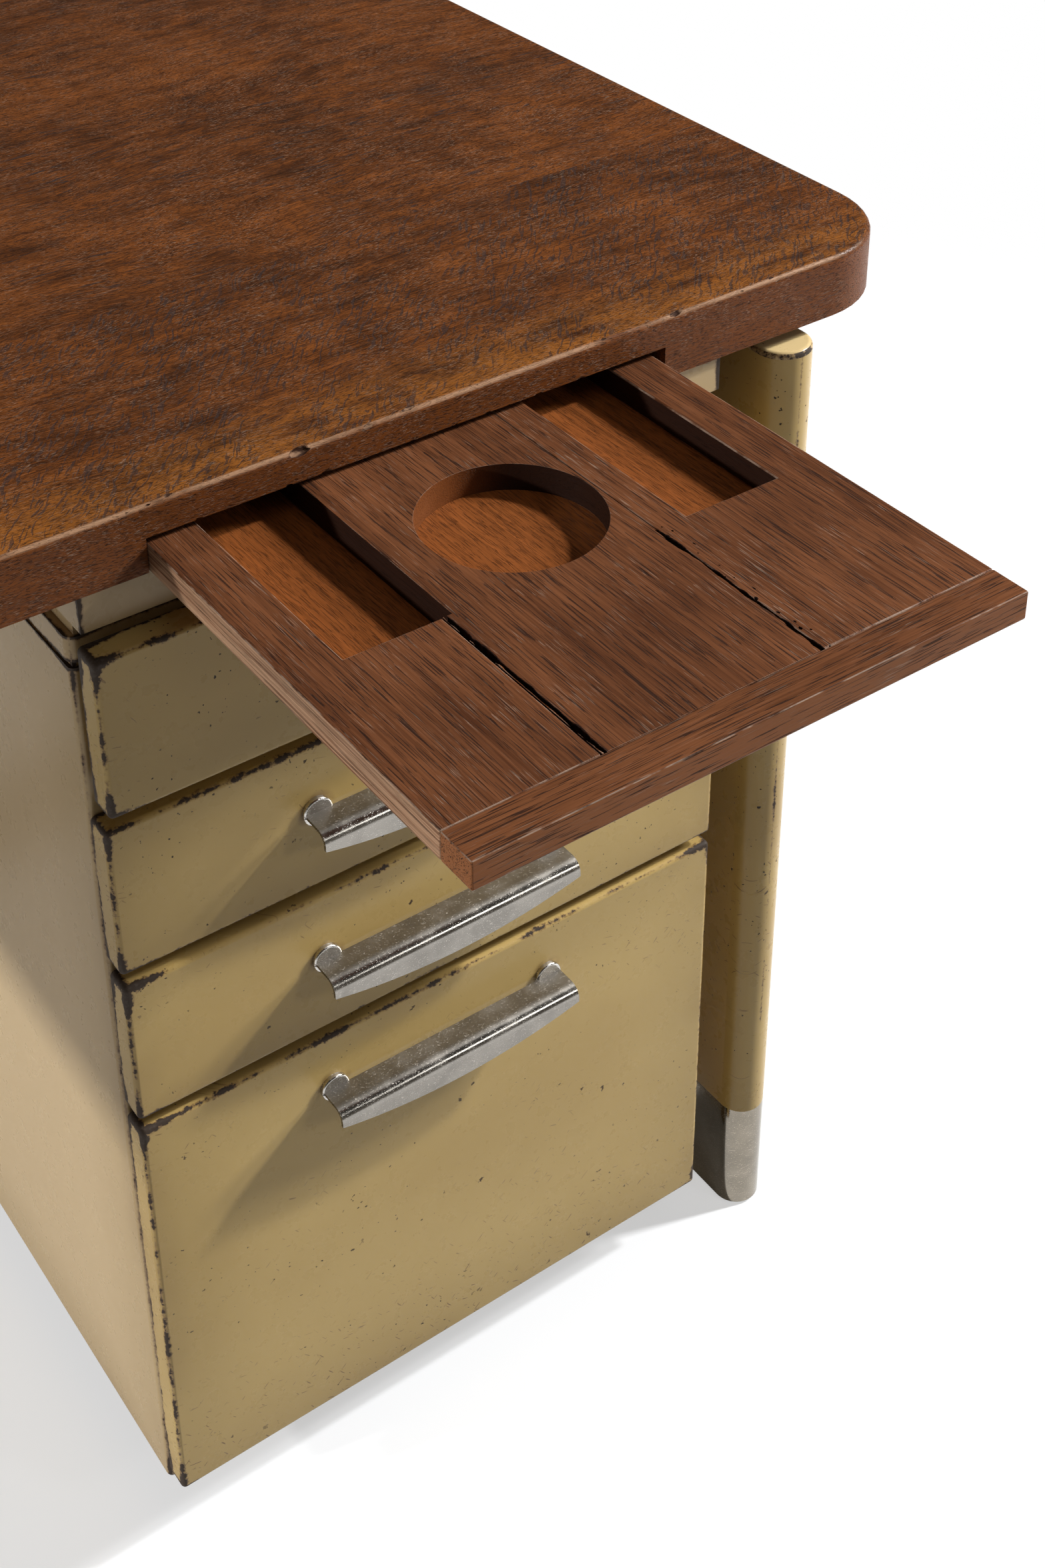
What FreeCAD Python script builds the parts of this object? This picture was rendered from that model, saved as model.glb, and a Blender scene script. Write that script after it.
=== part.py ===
import FreeCAD, Part
import math
import os
import re
import Sketcher

# Single-pedestal desk: oak top on four folded steel legs, a steel pedestal with four drawers, and a
# writing slide above the drawers. +Z is up, the drawers face -Y, and +X is to the right seen from the front.
# In the text below "face plane" is the plane of the closed drawer fronts.

SIZES = (
    # the desk as a whole
    ("desk_height", 738.0, "floor to the upper face of the top"),
    ("top_length", 1600.0, "length of the top"),
    ("top_depth", 750.0, "depth of the top"),
    ("top_thick", 38.0, "thickness of the top"),
    ("top_corner", 62.0, "plan radius of the top's corners"),
    ("top_edge", 4.0, "radius of the top's upper edge"),
    ("front_board_width", 186.0, "width of the front board"),
    ("near_board_width", 205.0, "width of the second board"),
    ("far_board_width", 180.0, "width of the third board"),
    ("face_proud", 4.0, "face plane in front of the top's front edge"),
    # legs
    ("leg_inset", 93.0, "top's end to the middle of a leg"),
    ("leg_proud", 10.0, "nose of a leg beyond the top's long edge"),
    ("leg_width", 35.6, "width of a leg at its lid"),
    ("leg_depth", 104.0, "depth of a leg at its lid"),
    ("foot_width", 32.4, "width of a leg at the floor"),
    ("foot_depth", 70.0, "depth of a leg at the floor"),
    ("leg_wall", 2.0, "sheet of a leg"),
    ("leg_drop", 8.7, "leg's lid below the wood"),
    ("lid_plate", 4.0, "thickness of a leg's lid"),
    ("lid_plug", 6.0, "plug under a leg's lid"),
    ("lid_round", 3.0, "rounded edge of a leg's lid"),
    ("sabot_height", 92.0, "height of a shoe"),
    ("sabot_bevel", 2.5, "bevelled lower edge of a shoe"),
    ("spigot_height", 30.0, "spigot of a shoe inside the leg"),
    ("spigot_clear", 0.4, "room around spigots and plugs"),
    # beams and rail
    ("steel", 2.0, "sheet of the pedestal, the beams and the rail"),
    ("beam_width", 24.0, "width of an end beam"),
    ("beam_height", 70.0, "height of an end beam"),
    ("rail_width", 24.0, "width of the rear rail"),
    ("rail_height", 80.0, "height of the rear rail"),
    ("rail_inset", 42.0, "nose of a rear leg to the rear rail"),
    # screws
    ("screw_radius", 2.5, "shank of a screw"),
    ("screw_head", 5.0, "radius of a screw's head"),
    ("screw_cap", 3.0, "height of a screw's head"),
    ("screw_bite", 16.0, "shank inside the wood"),
    ("hole_clear", 0.3, "room around a shank"),
    ("screw_pitch", 190.0, "screws along an end beam"),
    ("screw_first", 120.0, "face plane to the pedestal's first screw"),
    ("screw_second", 520.0, "face plane to the pedestal's second screw"),
    # pedestal
    ("front_width", 400.0, "width of the pedestal and of the drawer fronts"),
    ("pedestal_inset", 140.5, "top's right end to the pedestal"),
    ("carcass_depth", 620.0, "depth of the carcass"),
    ("carcass_lift", 33.0, "carcass above the floor"),
    ("bend", 4.0, "outer radius of folded edges"),
    ("return_width", 11.0, "folded returns of the side panels"),
    ("lid_gap", 3.0, "shadow groove under the cap"),
    ("lid_height", 15.0, "height of the cap"),
    ("lid_corner", 6.0, "plan radius of the cap's corners"),
    ("collar_lap", 9.0, "collar inside the carcass"),
    ("packer_height", 9.4, "feet of the spacer on the cap"),
    ("packer_lap", 6.0, "feet of the spacer behind its wall"),
    ("spacer_height", 22.6, "height of the spacer"),
    ("spacer_inset", 2.5, "spacer behind the pedestal's sides"),
    ("spacer_setback", 7.3, "spacer behind the face plane"),
    ("spacer_flange", 18.0, "flange of the spacer under the wood"),
    # drawers
    ("front_lift", 13.3, "lowest front above the carcass's lower edge"),
    ("upper_reveal", 6.9, "uppermost front below the spacer"),
    ("drawer_height", 96.0, "front of a shallow drawer"),
    ("front_gap", 8.0, "gap between drawer fronts"),
    ("upper_gap", 14.7, "gap under the uppermost front"),
    ("front_depth", 16.5, "depth of a folded front"),
    ("front_sheet", 1.5, "sheet of fronts and trays"),
    ("front_round", 3.0, "folded edges of a front"),
    ("front_flange", 22.0, "flange at the back of a front"),
    ("front_clear", 2.0, "closed front to the carcass"),
    ("first_out", 8.3, "uppermost drawer left open"),
    ("second_in", 1.0, "second drawer pushed in further"),
    ("tray_side", 12.0, "tray to the carcass wall"),
    ("tray_lift", 8.0, "tray above the lower edge of its front"),
    ("tray_depth", 560.0, "depth of a tray"),
    ("tray_drop", 36.0, "shallow tray below the upper edge of its front"),
    ("file_tray_drop", 35.5, "file drawer's tray below the upper edge of its front"),
    ("runner_clear", 0.4, "tray above its runners"),
    ("runner_sheet", 2.0, "sheet of a runner"),
    ("runner_ledge", 8.0, "runner under the tray"),
    ("runner_height", 22.0, "height of a runner"),
    ("runner_inset", 6.0, "ends of a runner inside the carcass"),
    # pulls
    ("pull_length", 168.0, "length of a pull"),
    ("pull_sheet", 2.0, "sheet of a pull"),
    ("pull_reach", 22.5, "nose of a pull in front of the drawer front"),
    ("pull_gap", 2.4, "gap behind a pull's plate"),
    ("pull_nose", 8.0, "outer radius of a pull's nose"),
    ("pull_offset", 3.5, "pull left of the middle of its front"),
    ("lip_end", 9.5, "lip at the ends of a pull"),
    ("lip_middle", 19.0, "lip at the middle of a pull"),
    ("pull_rise", 4.5, "pull above the middle of a shallow front"),
    ("file_pull_drop", 38.8, "pull below the upper edge of the file front"),
    ("stud_radius", 9.0, "radius of a stud"),
    ("stud_length", 3.0, "thickness of a stud"),
    ("stud_round", 1.2, "rounded rim of a stud"),
    ("stud_inset", 8.0, "end of a pull to the middle of a stud"),
    # writing slide
    ("slide_inset", 40.0, "pedestal's left side to the slide"),
    ("slide_margin", 52.0, "slide to the pedestal's right side"),
    ("slide_length", 395.0, "length of the slide"),
    ("slide_thick", 15.5, "thickness of the slide"),
    ("slide_out", 265.0, "slide in front of the face plane"),
    ("slide_lift", 0.2, "slide above its ledges"),
    ("slide_top_gap", 3.8, "channel above the slide"),
    ("slide_side_gap", 0.6, "channel beside the slide, left"),
    ("slide_slack", 7.0, "channel beside the slide, right"),
    ("channel_clear", 8.0, "channel behind the closed slide"),
    ("strip_depth", 22.0, "cross strips of the slide"),
    ("joint_lap", 5.5, "first plank joint inside the left pen recess"),
    ("joint_land", 1.5, "second plank joint beside the round recess"),
    ("plank_gap", 0.5, "open joint between planks"),
    ("pen_inset", 28.0, "slide's edge to a pen recess"),
    ("cup_land", 20.5, "round recess to a pen recess"),
    ("pen_setback", 139.0, "slide's front to the pen recesses"),
    ("pen_length", 216.0, "length of a pen recess"),
    ("cup_radius", 47.5, "radius of the round recess"),
    ("cup_setback", 188.0, "slide's front to the middle of the round recess"),
    ("floor_thick", 3.5, "thickness of the recess floor"),
    ("floor_margin", 9.0, "floor beyond the recesses"),
    ("floor_clear", 1.0, "spacer below the recess floor"),
    ("ledge_thick", 3.0, "thickness of a ledge"),
    ("ledge_lap", 13.0, "ledge under the slide and under the wood"),
)

DERIVED = (
    ("under_z", "desk_height - top_thick", "lower face of the top"),
    ("face_y", "(slide_out - face_proud - top_depth - leg_proud) / 2", "face plane"),
    ("front_y", "face_y + face_proud", "front edge of the top"),
    ("rear_y", "front_y + top_depth", "rear edge of the top"),
    ("pedestal_x", "top_length / 2 - pedestal_inset - front_width", "left side of the pedestal"),
    ("leg_x", "top_length / 2 - leg_inset", "middle of a right leg"),
    ("leg_height", "under_z - leg_drop", "upper face of a leg's lid"),
    ("leg_top", "leg_height - lid_plate", "upper end of a leg's sheet"),
    ("slim", "(leg_width - foot_width) / leg_height", "taper of a leg's width"),
    ("lean", "(leg_depth - foot_depth) / leg_height", "taper of a leg's depth"),
    ("shoe_width", "foot_width + slim * sabot_height", "leg's width at the shoe"),
    ("shoe_depth", "foot_depth + lean * sabot_height", "leg's depth at the shoe"),
    ("neck_width", "foot_width + slim * leg_top", "leg's width under its lid"),
    ("neck_depth", "foot_depth + lean * leg_top", "leg's depth under its lid"),
    ("beam_z", "under_z - beam_height", "lower face of the beams"),
    ("beam_start", "front_y - leg_proud + foot_depth + lean * beam_z", "front end of the beams"),
    ("beam_end", "rear_y + leg_proud - foot_depth - lean * beam_z", "rear end of the beams"),
    ("rail_z", "under_z - rail_height", "lower face of the rear rail"),
    ("rail_x", "leg_x - (foot_width + slim * rail_z) / 2", "right end of the rear rail"),
    ("rail_y", "rear_y + leg_proud - rail_inset - rail_width", "front of the rear rail"),
    ("spacer_z", "under_z - spacer_height", "lower edge of the spacer"),
    ("lid_z", "spacer_z - packer_height", "upper face of the cap"),
    ("carcass_top", "lid_z - lid_height - lid_gap", "upper edge of the carcass"),
    ("carcass_height", "carcass_top - carcass_lift", "height of the carcass"),
    ("carcass_y", "front_depth + front_clear + second_in", "front of the carcass behind the face plane"),
    ("carcass_end", "carcass_y + carcass_depth", "rear of the carcass behind the face plane"),
    ("first_z", "spacer_z - upper_reveal - drawer_height", "first drawer"),
    ("second_z", "first_z - upper_gap - drawer_height", "second drawer"),
    ("third_z", "second_z - front_gap - drawer_height", "third drawer"),
    ("file_z", "carcass_lift + front_lift", "file drawer"),
    ("file_height", "third_z - front_gap - file_z", "front of the file drawer"),
    ("tray_height", "drawer_height - tray_lift - tray_drop", "height of a shallow tray"),
    ("file_tray_height", "file_height - tray_lift - file_tray_drop", "height of the file drawer's tray"),
    ("tray_x", "steel + tray_side", "tray beside the pedestal's side"),
    ("tray_width", "front_width - 2 * tray_x", "width of a tray"),
    ("slide_z", "under_z + slide_lift", "lower face of the slide"),
    ("channel_height", "slide_lift + slide_thick + slide_top_gap", "height of the slide's channel"),
    ("channel_depth", "slide_length + channel_clear", "depth of the slide's channel"),
    ("slide_width", "front_width - slide_inset - slide_margin", "width of the slide"),
    ("channel_width", "slide_side_gap + slide_width + slide_slack", "width of the slide's channel"),
    ("plank_length", "slide_length - 2 * strip_depth", "length of the slide's planks"),
    ("cup_x", "slide_width / 2", "middle of the round recess"),
    ("pen_width", "cup_x - cup_radius - cup_land - pen_inset", "width of a pen recess"),
    ("joint_left", "pen_inset + pen_width - joint_lap", "first plank joint"),
    ("joint_right", "cup_x + cup_radius + joint_land", "second plank joint"),
    ("floor_x", "slide_inset + pen_inset - floor_margin", "left edge of the recess floor"),
    ("floor_width", "slide_width - 2 * (pen_inset - floor_margin)", "width of the recess floor"),
    ("pull_x", "pedestal_x + front_width / 2 - pull_offset", "middle of a pull"),
    ("lip_sag", "lip_middle - lip_end", "bow of a pull's lip"),
    ("lip_radius", "(pull_length * pull_length / 4 + lip_sag * lip_sag) / (2 * lip_sag)", "arc of a lip"),
)

NEAR = 1e-4

doc = FreeCAD.newDocument("captains_desk")
sheet = doc.addObject("Spreadsheet::Sheet", "sizes")
for row, (alias, value, note) in enumerate(SIZES + DERIVED, start=1):
    sheet.set("A%d" % row, note)
    sheet.set("B%d" % row, "=" + value if isinstance(value, str) else str(value))
    sheet.setAlias("B%d" % row, alias)
doc.recompute()
ALIASES = {entry[0] for entry in SIZES + DERIVED}


def bound(text):
    """The expression with each alias read from the sheet."""
    return re.sub(r"[a-z_]+", lambda m: "sizes." + m.group() if m.group() in ALIASES else m.group(), text)


def number(text):
    """The present value of an expression."""
    result = sheet.evalExpression(bound(text))
    return float(getattr(result, "Value", result))


def bind(item, sizes, at=None):
    """Binds an item's dimensions, and its place if there is one, to expressions."""
    for prop, text in sizes.items():
        item.setExpression(prop, bound(text))
    for axis, text in zip("xyz", at or ()):
        item.setExpression("Placement.Base." + axis, bound(text))
    return item


def new_body(label, at=("0", "0", "0"), turn=0.0):
    """A body of its own, placed by expressions and turned about the vertical."""
    body = doc.addObject("PartDesign::Body", label)
    body.Label = label
    body.Placement = FreeCAD.Placement(FreeCAD.Vector(), FreeCAD.Rotation(FreeCAD.Vector(0, 0, 1), turn))
    return bind(body, {}, at)


def add_box(body, size, at, cut=False):
    """A box added to a body, or cut out of it."""
    kind = "PartDesign::SubtractiveBox" if cut else "PartDesign::AdditiveBox"
    feature = body.newObject(kind, body.Label + ("_cut" if cut else "_box"))
    return bind(feature, dict(zip(("Length", "Width", "Height"), size)), at)


def add_hole(body, radius, height, at):
    """An upright round hole through part of a body."""
    feature = body.newObject("PartDesign::SubtractiveCylinder", body.Label + "_hole")
    return bind(feature, {"Radius": radius, "Height": height}, at)


def fillet(body, radius, chosen):
    """Rounds the edges of a body's last feature that the test chooses."""
    doc.recompute()
    base = body.Tip
    names = ["Edge%d" % index for index, edge in enumerate(base.Shape.Edges, start=1) if chosen(edge)]
    feature = body.newObject("PartDesign::Fillet", body.Label + "_round")
    feature.Base = (base, names)
    return bind(feature, {"Radius": radius})


def lies(edge, **planes):
    """Whether the whole edge lies in the given planes, such as x=0.0."""
    box = edge.BoundBox
    for axis, place in planes.items():
        low, high = getattr(box, axis.upper() + "Min"), getattr(box, axis.upper() + "Max")
        if abs(low - place) > NEAR or abs(high - place) > NEAR:
            return False
    return True


def upright(edge):
    """Whether the edge is a straight vertical one."""
    box = edge.BoundBox
    return box.XLength < NEAR and box.YLength < NEAR and box.ZLength > NEAR


def new_sketch(body, name, role, offset="0"):
    """A sketch on one of a body's origin planes, raised along the plane's normal."""
    plane = next(item for item in body.Origin.OriginFeatures if item.Role == role)
    sketch = body.newObject("Sketcher::SketchObject", name)
    sketch.AttachmentSupport = [(plane, "")]
    sketch.MapMode = "FlatFace"
    sketch.setExpression("AttachmentOffset.Base.z", bound(offset))
    return sketch


def pin(sketch, geometry, point, x, y):
    """Holds a point of the sketch at expressions for its two coordinates."""
    for kind, text in (("DistanceX", x), ("DistanceY", y)):
        index = sketch.addConstraint(Sketcher.Constraint(kind, -1, 1, geometry, point, number(text)))
        sketch.setExpression("Constraints[%d]" % index, bound(text))


def join(sketch, first, first_point, second, second_point):
    """Ties two points of the sketch together."""
    sketch.addConstraint(Sketcher.Constraint("Coincident", first, first_point, second, second_point))


def nose_profile(body, name, width, depth, height, margin="0"):
    """Closed plan of a leg: half-round nose towards -Y, flat sides and a flat back, inset by a margin."""
    sketch = new_sketch(body, name, "XY_Plane", height)
    half = "(%s) / 2 - (%s)" % (width, margin)
    middle = "(%s) / 2" % width
    back = "(%s) - (%s)" % (depth, margin)
    reach, centre, end = number(half), number(middle), number(back)
    vector = FreeCAD.Vector
    sketch.addGeometry(Part.LineSegment(vector(-reach, end, 0), vector(reach, end, 0)), False)
    sketch.addGeometry(Part.LineSegment(vector(reach, end, 0), vector(reach, centre, 0)), False)
    circle = Part.Circle(vector(0, centre, 0), vector(0, 0, 1), reach)
    sketch.addGeometry(Part.ArcOfCircle(circle, math.pi, 2 * math.pi), False)
    sketch.addGeometry(Part.LineSegment(vector(-reach, centre, 0), vector(-reach, end, 0)), False)
    pin(sketch, 0, 1, "-(%s)" % half, back)
    pin(sketch, 0, 2, half, back)
    join(sketch, 1, 1, 0, 2)
    pin(sketch, 1, 2, half, middle)
    join(sketch, 2, 2, 1, 2)
    pin(sketch, 3, 1, "-(%s)" % half, middle)
    join(sketch, 2, 1, 3, 1)
    join(sketch, 3, 2, 0, 1)
    index = sketch.addConstraint(Sketcher.Constraint("DistanceY", -1, 1, 2, 3, centre))
    sketch.setExpression("Constraints[%d]" % index, bound(middle))
    return sketch


def add_loft(body, lower, upper):
    """A straight loft between two profiles of a body."""
    feature = body.newObject("PartDesign::AdditiveLoft", body.Label + "_loft")
    feature.Profile = lower
    feature.Sections = [upper]
    feature.Ruled = True
    return feature


def add_pad(body, sketch, length):
    """A pad of a sketch."""
    feature = body.newObject("PartDesign::Pad", body.Label + "_pad")
    feature.Profile = sketch
    return bind(feature, {"Length": length})


def plain_box(name, size, at):
    """A plain box of the document."""
    return bind(doc.addObject("Part::Box", name), dict(zip(("Length", "Width", "Height"), size)), at)


def plain_cylinder(name, radius, height, at):
    """A plain upright cylinder of the document."""
    return bind(doc.addObject("Part::Cylinder", name), {"Radius": radius, "Height": height}, at)


def group(label, members):
    """Separate solids that share one node."""
    compound = doc.addObject("Part::Compound", label)
    compound.Links = members
    compound.Label = label
    return compound


def boolean(kind, label, base, tool):
    """A cut or a common part of two objects."""
    result = doc.addObject("Part::" + kind, label)
    result.Base = base
    result.Tool = tool
    result.Label = label
    return result


nodes = []

# Screws: three under each end beam and two on each side of the pedestal
beam_middle = "(beam_start + beam_end) / 2"
flange_middle = "spacer_inset + steel + (spacer_flange - steel) / 2"
screw_places = [(side + "leg_x", beam_middle + step)
                for side in ("", "-") for step in (" - screw_pitch", "", " + screw_pitch")]
screw_places += [(x, "face_y + " + y)
                 for x in ("pedestal_x + " + flange_middle, "pedestal_x + front_width - (%s)" % flange_middle)
                 for y in ("screw_first", "screw_second")]

screws = []
wood_holes = []
for count, (x, y) in enumerate(screw_places, start=1):
    head = plain_cylinder("screw_head_%d" % count, "screw_head", "screw_cap",
                          (x, y, "under_z - steel - screw_cap"))
    shank = plain_cylinder("screw_shank_%d" % count, "screw_radius", "steel + screw_bite",
                           (x, y, "under_z - steel"))
    screw = doc.addObject("Part::Fuse", "screw_%d" % count)
    screw.Base = head
    screw.Tool = shank
    screws.append(screw)
    wood_holes.append(plain_cylinder("wood_hole_%d" % count, "screw_radius + hole_clear",
                                     "screw_bite + hole_clear", (x, y, "under_z")))
nodes.append(group("top_screws", screws))

# Oak top: one rounded slab with the slide's channel, divided into its four boards
slab = new_body("top_slab", ("0", "front_y", "under_z"))
add_box(slab, ("top_length", "top_depth", "top_thick"), ("-top_length / 2", "0", "0"))
fillet(slab, "top_corner", upright)
fillet(slab, "top_edge", lambda edge: lies(edge, z=number("top_thick")))
add_box(slab, ("channel_width", "channel_depth + face_proud", "channel_height + slide_lift"),
        ("pedestal_x + slide_inset - slide_side_gap", "-face_proud", "-slide_lift"), cut=True)
drilled = boolean("Cut", "top_drilled", slab, group("wood_holes", wood_holes))
boards = (
    ("top_board_front", "0", "front_board_width"),
    ("top_board_second", "front_board_width", "near_board_width"),
    ("top_board_third", "front_board_width + near_board_width", "far_board_width"),
    ("top_board_rear", "front_board_width + near_board_width + far_board_width",
     "top_depth - front_board_width - near_board_width - far_board_width"),
)
for label, start, width in boards:
    blank = plain_box(label + "_blank", ("top_length", width, "top_thick"),
                      ("-top_length / 2", "front_y + " + start, "under_z"))
    nodes.append(boolean("Common", label, drilled, blank))

# Legs with their lids and shoes; the trims are the full outer forms, used to fit the beams and the rail
trims = {}
corners = (
    ("front_right", "leg_x", "front_y - leg_proud", 0.0),
    ("front_left", "-leg_x", "front_y - leg_proud", 0.0),
    ("rear_right", "leg_x", "rear_y + leg_proud", 180.0),
    ("rear_left", "-leg_x", "rear_y + leg_proud", 180.0),
)
for corner, x, y, turn in corners:
    place = (x, y, "0")
    trim = new_body("trim_" + corner, place, turn)
    add_loft(trim, nose_profile(trim, "low", "shoe_width", "shoe_depth", "sabot_height"),
             nose_profile(trim, "high", "leg_width", "leg_depth", "leg_height"))
    trims[corner] = trim

    outside = new_body("leg_outside_" + corner, place, turn)
    add_loft(outside, nose_profile(outside, "low", "shoe_width", "shoe_depth", "sabot_height"),
             nose_profile(outside, "high", "neck_width", "neck_depth", "leg_top"))
    inside = new_body("leg_inside_" + corner, place, turn)
    add_loft(inside, nose_profile(inside, "low", "shoe_width", "shoe_depth", "sabot_height", "leg_wall"),
             nose_profile(inside, "high", "neck_width", "neck_depth", "leg_top", "leg_wall"))
    nodes.append(boolean("Cut", "leg_" + corner, outside, inside))

    lid = new_body("leg_lid_" + corner, place, turn)
    add_pad(lid, nose_profile(lid, "plate", "leg_width", "leg_depth", "leg_top"), "lid_plate")
    fillet(lid, "lid_round", lambda edge: lies(edge, z=number("leg_height")))
    plug = nose_profile(lid, "plug", "neck_width - 2 * slim * lid_plug", "neck_depth - 2 * lean * lid_plug",
                        "leg_top - lid_plug", "leg_wall + spigot_clear")
    add_pad(lid, plug, "lid_plug")
    nodes.append(lid)

    sabot = new_body("sabot_" + corner, place, turn)
    toe = nose_profile(sabot, "toe", "foot_width", "foot_depth", "sabot_bevel")
    add_loft(sabot, nose_profile(sabot, "sole", "foot_width", "foot_depth", "0", "sabot_bevel"), toe)
    add_loft(sabot, nose_profile(sabot, "low", "foot_width", "foot_depth", "sabot_bevel"),
             nose_profile(sabot, "high", "shoe_width", "shoe_depth", "sabot_height"))
    spigot = nose_profile(sabot, "spigot", "shoe_width", "shoe_depth", "sabot_height",
                          "leg_wall + spigot_clear")
    add_pad(sabot, spigot, "spigot_height")
    nodes.append(sabot)

# End beams: channels that open towards the middle of the desk, fitted to the legs
for side, sign in (("right", ""), ("left", "-")):
    beam = new_body("beam_blank_" + side, (sign + "leg_x", "beam_start", "beam_z"))
    add_box(beam, ("beam_width", "beam_end - beam_start", "beam_height"), ("-beam_width / 2", "0", "0"))
    hollow_x = "-beam_width / 2 - steel" if side == "right" else "-beam_width / 2 + steel"
    add_box(beam, ("beam_width", "beam_end - beam_start", "beam_height - 2 * steel"),
            (hollow_x, "0", "steel"), cut=True)
    for step in (" - screw_pitch", "", " + screw_pitch"):
        add_hole(beam, "screw_radius + hole_clear", "2 * steel",
                 ("0", "(beam_end - beam_start) / 2" + step, "beam_height - 1.5 * steel"))
    ends = group("beam_ends_" + side, [trims["front_" + side], trims["rear_" + side]])
    nodes.append(boolean("Cut", "beam_" + side, beam, ends))

# Rear rail: a channel between the rear legs that opens towards the back
rail = new_body("rail_blank", ("-rail_x", "rail_y", "rail_z"))
add_box(rail, ("2 * rail_x", "rail_width", "rail_height"), ("0", "0", "0"))
add_box(rail, ("2 * rail_x", "rail_width", "rail_height - 2 * steel"), ("0", "steel", "steel"), cut=True)
nodes.append(boolean("Cut", "rear_rail", rail, group("rail_ends", [trims["rear_right"], trims["rear_left"]])))

# Pedestal; its pieces are measured from its left side, the face plane and the floor
pedestal = ("pedestal_x", "face_y", "0")
for side, wall_x, fold_x in (("left", "0", "0"),
                             ("right", "front_width - steel", "front_width - return_width")):
    panel = new_body("pedestal_side_" + side, pedestal)
    add_box(panel, ("steel", "carcass_depth", "carcass_height"), (wall_x, "carcass_y", "carcass_lift"))
    add_box(panel, ("return_width", "steel", "carcass_height"), (fold_x, "carcass_y", "carcass_lift"))
    add_box(panel, ("return_width", "carcass_depth", "steel"), (fold_x, "carcass_y", "carcass_lift"))
    edge_x = number("0" if side == "left" else "front_width")
    edge_y, edge_z = number("carcass_y"), number("carcass_lift")
    fillet(panel, "bend", lambda edge: lies(edge, x=edge_x, y=edge_y) or lies(edge, x=edge_x, z=edge_z)
           or lies(edge, y=edge_y, z=edge_z))
    nodes.append(panel)

back = new_body("pedestal_back", pedestal)
add_box(back, ("front_width - 2 * steel", "steel", "carcass_height - steel"),
        ("steel", "carcass_end - steel", "carcass_lift + steel"))
nodes.append(back)

bottom = new_body("pedestal_bottom", pedestal)
add_box(bottom, ("front_width - 2 * steel", "carcass_depth - 2 * steel", "steel"),
        ("steel", "carcass_y + steel", "carcass_lift + steel"))
nodes.append(bottom)

collar = new_body("pedestal_collar", pedestal)
collar_height = "collar_lap + lid_gap + lid_height - steel"
add_box(collar, ("front_width - 2 * steel", "carcass_depth - 2 * steel", collar_height),
        ("steel", "carcass_y + steel", "carcass_top - collar_lap"))
add_box(collar, ("front_width - 4 * steel", "carcass_depth - 4 * steel", collar_height),
        ("2 * steel", "carcass_y + 2 * steel", "carcass_top - collar_lap"), cut=True)
nodes.append(collar)

cap = new_body("pedestal_lid", pedestal)
add_box(cap, ("front_width", "carcass_depth", "lid_height"), ("0", "carcass_y", "carcass_top + lid_gap"))
fillet(cap, "lid_corner", upright)
add_box(cap, ("front_width - 2 * steel", "carcass_depth - 2 * steel", "lid_height - steel"),
        ("steel", "carcass_y + steel", "carcass_top + lid_gap"), cut=True)
nodes.append(cap)

spacer = new_body("pedestal_spacer", pedestal)
spacer_depth = "carcass_end - spacer_setback"
add_box(spacer, ("front_width - 2 * spacer_inset", spacer_depth, "spacer_height"),
        ("spacer_inset", "spacer_setback", "spacer_z"))
add_box(spacer, ("front_width - 2 * spacer_inset - 2 * steel", spacer_depth + " - 2 * steel",
                 "spacer_height"),
        ("spacer_inset + steel", "spacer_setback + steel", "spacer_z"), cut=True)
foot_x = "spacer_inset + steel"
for x, flange_x in ((foot_x, "spacer_inset"),
                    ("front_width - (%s) - steel" % foot_x, "front_width - spacer_inset - spacer_flange")):
    add_box(spacer, ("spacer_flange", spacer_depth, "steel"), (flange_x, "spacer_setback", "under_z - steel"))
    add_box(spacer, ("steel", "carcass_depth - 2 * steel", "packer_height + packer_lap"),
            (x, "carcass_y + steel", "lid_z"))
    for place in ("screw_first", "screw_second"):
        middle = flange_middle if x == foot_x else "front_width - (%s)" % flange_middle
        add_hole(spacer, "screw_radius + hole_clear", "2 * steel", (middle, place, "under_z - 1.5 * steel"))
add_box(spacer, ("floor_width + 2 * floor_clear", "2 * steel", "floor_thick + floor_clear"),
        ("floor_x - floor_clear", "spacer_setback - 0.5 * steel", "under_z - floor_thick - floor_clear"),
        cut=True)
nodes.append(spacer)

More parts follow.
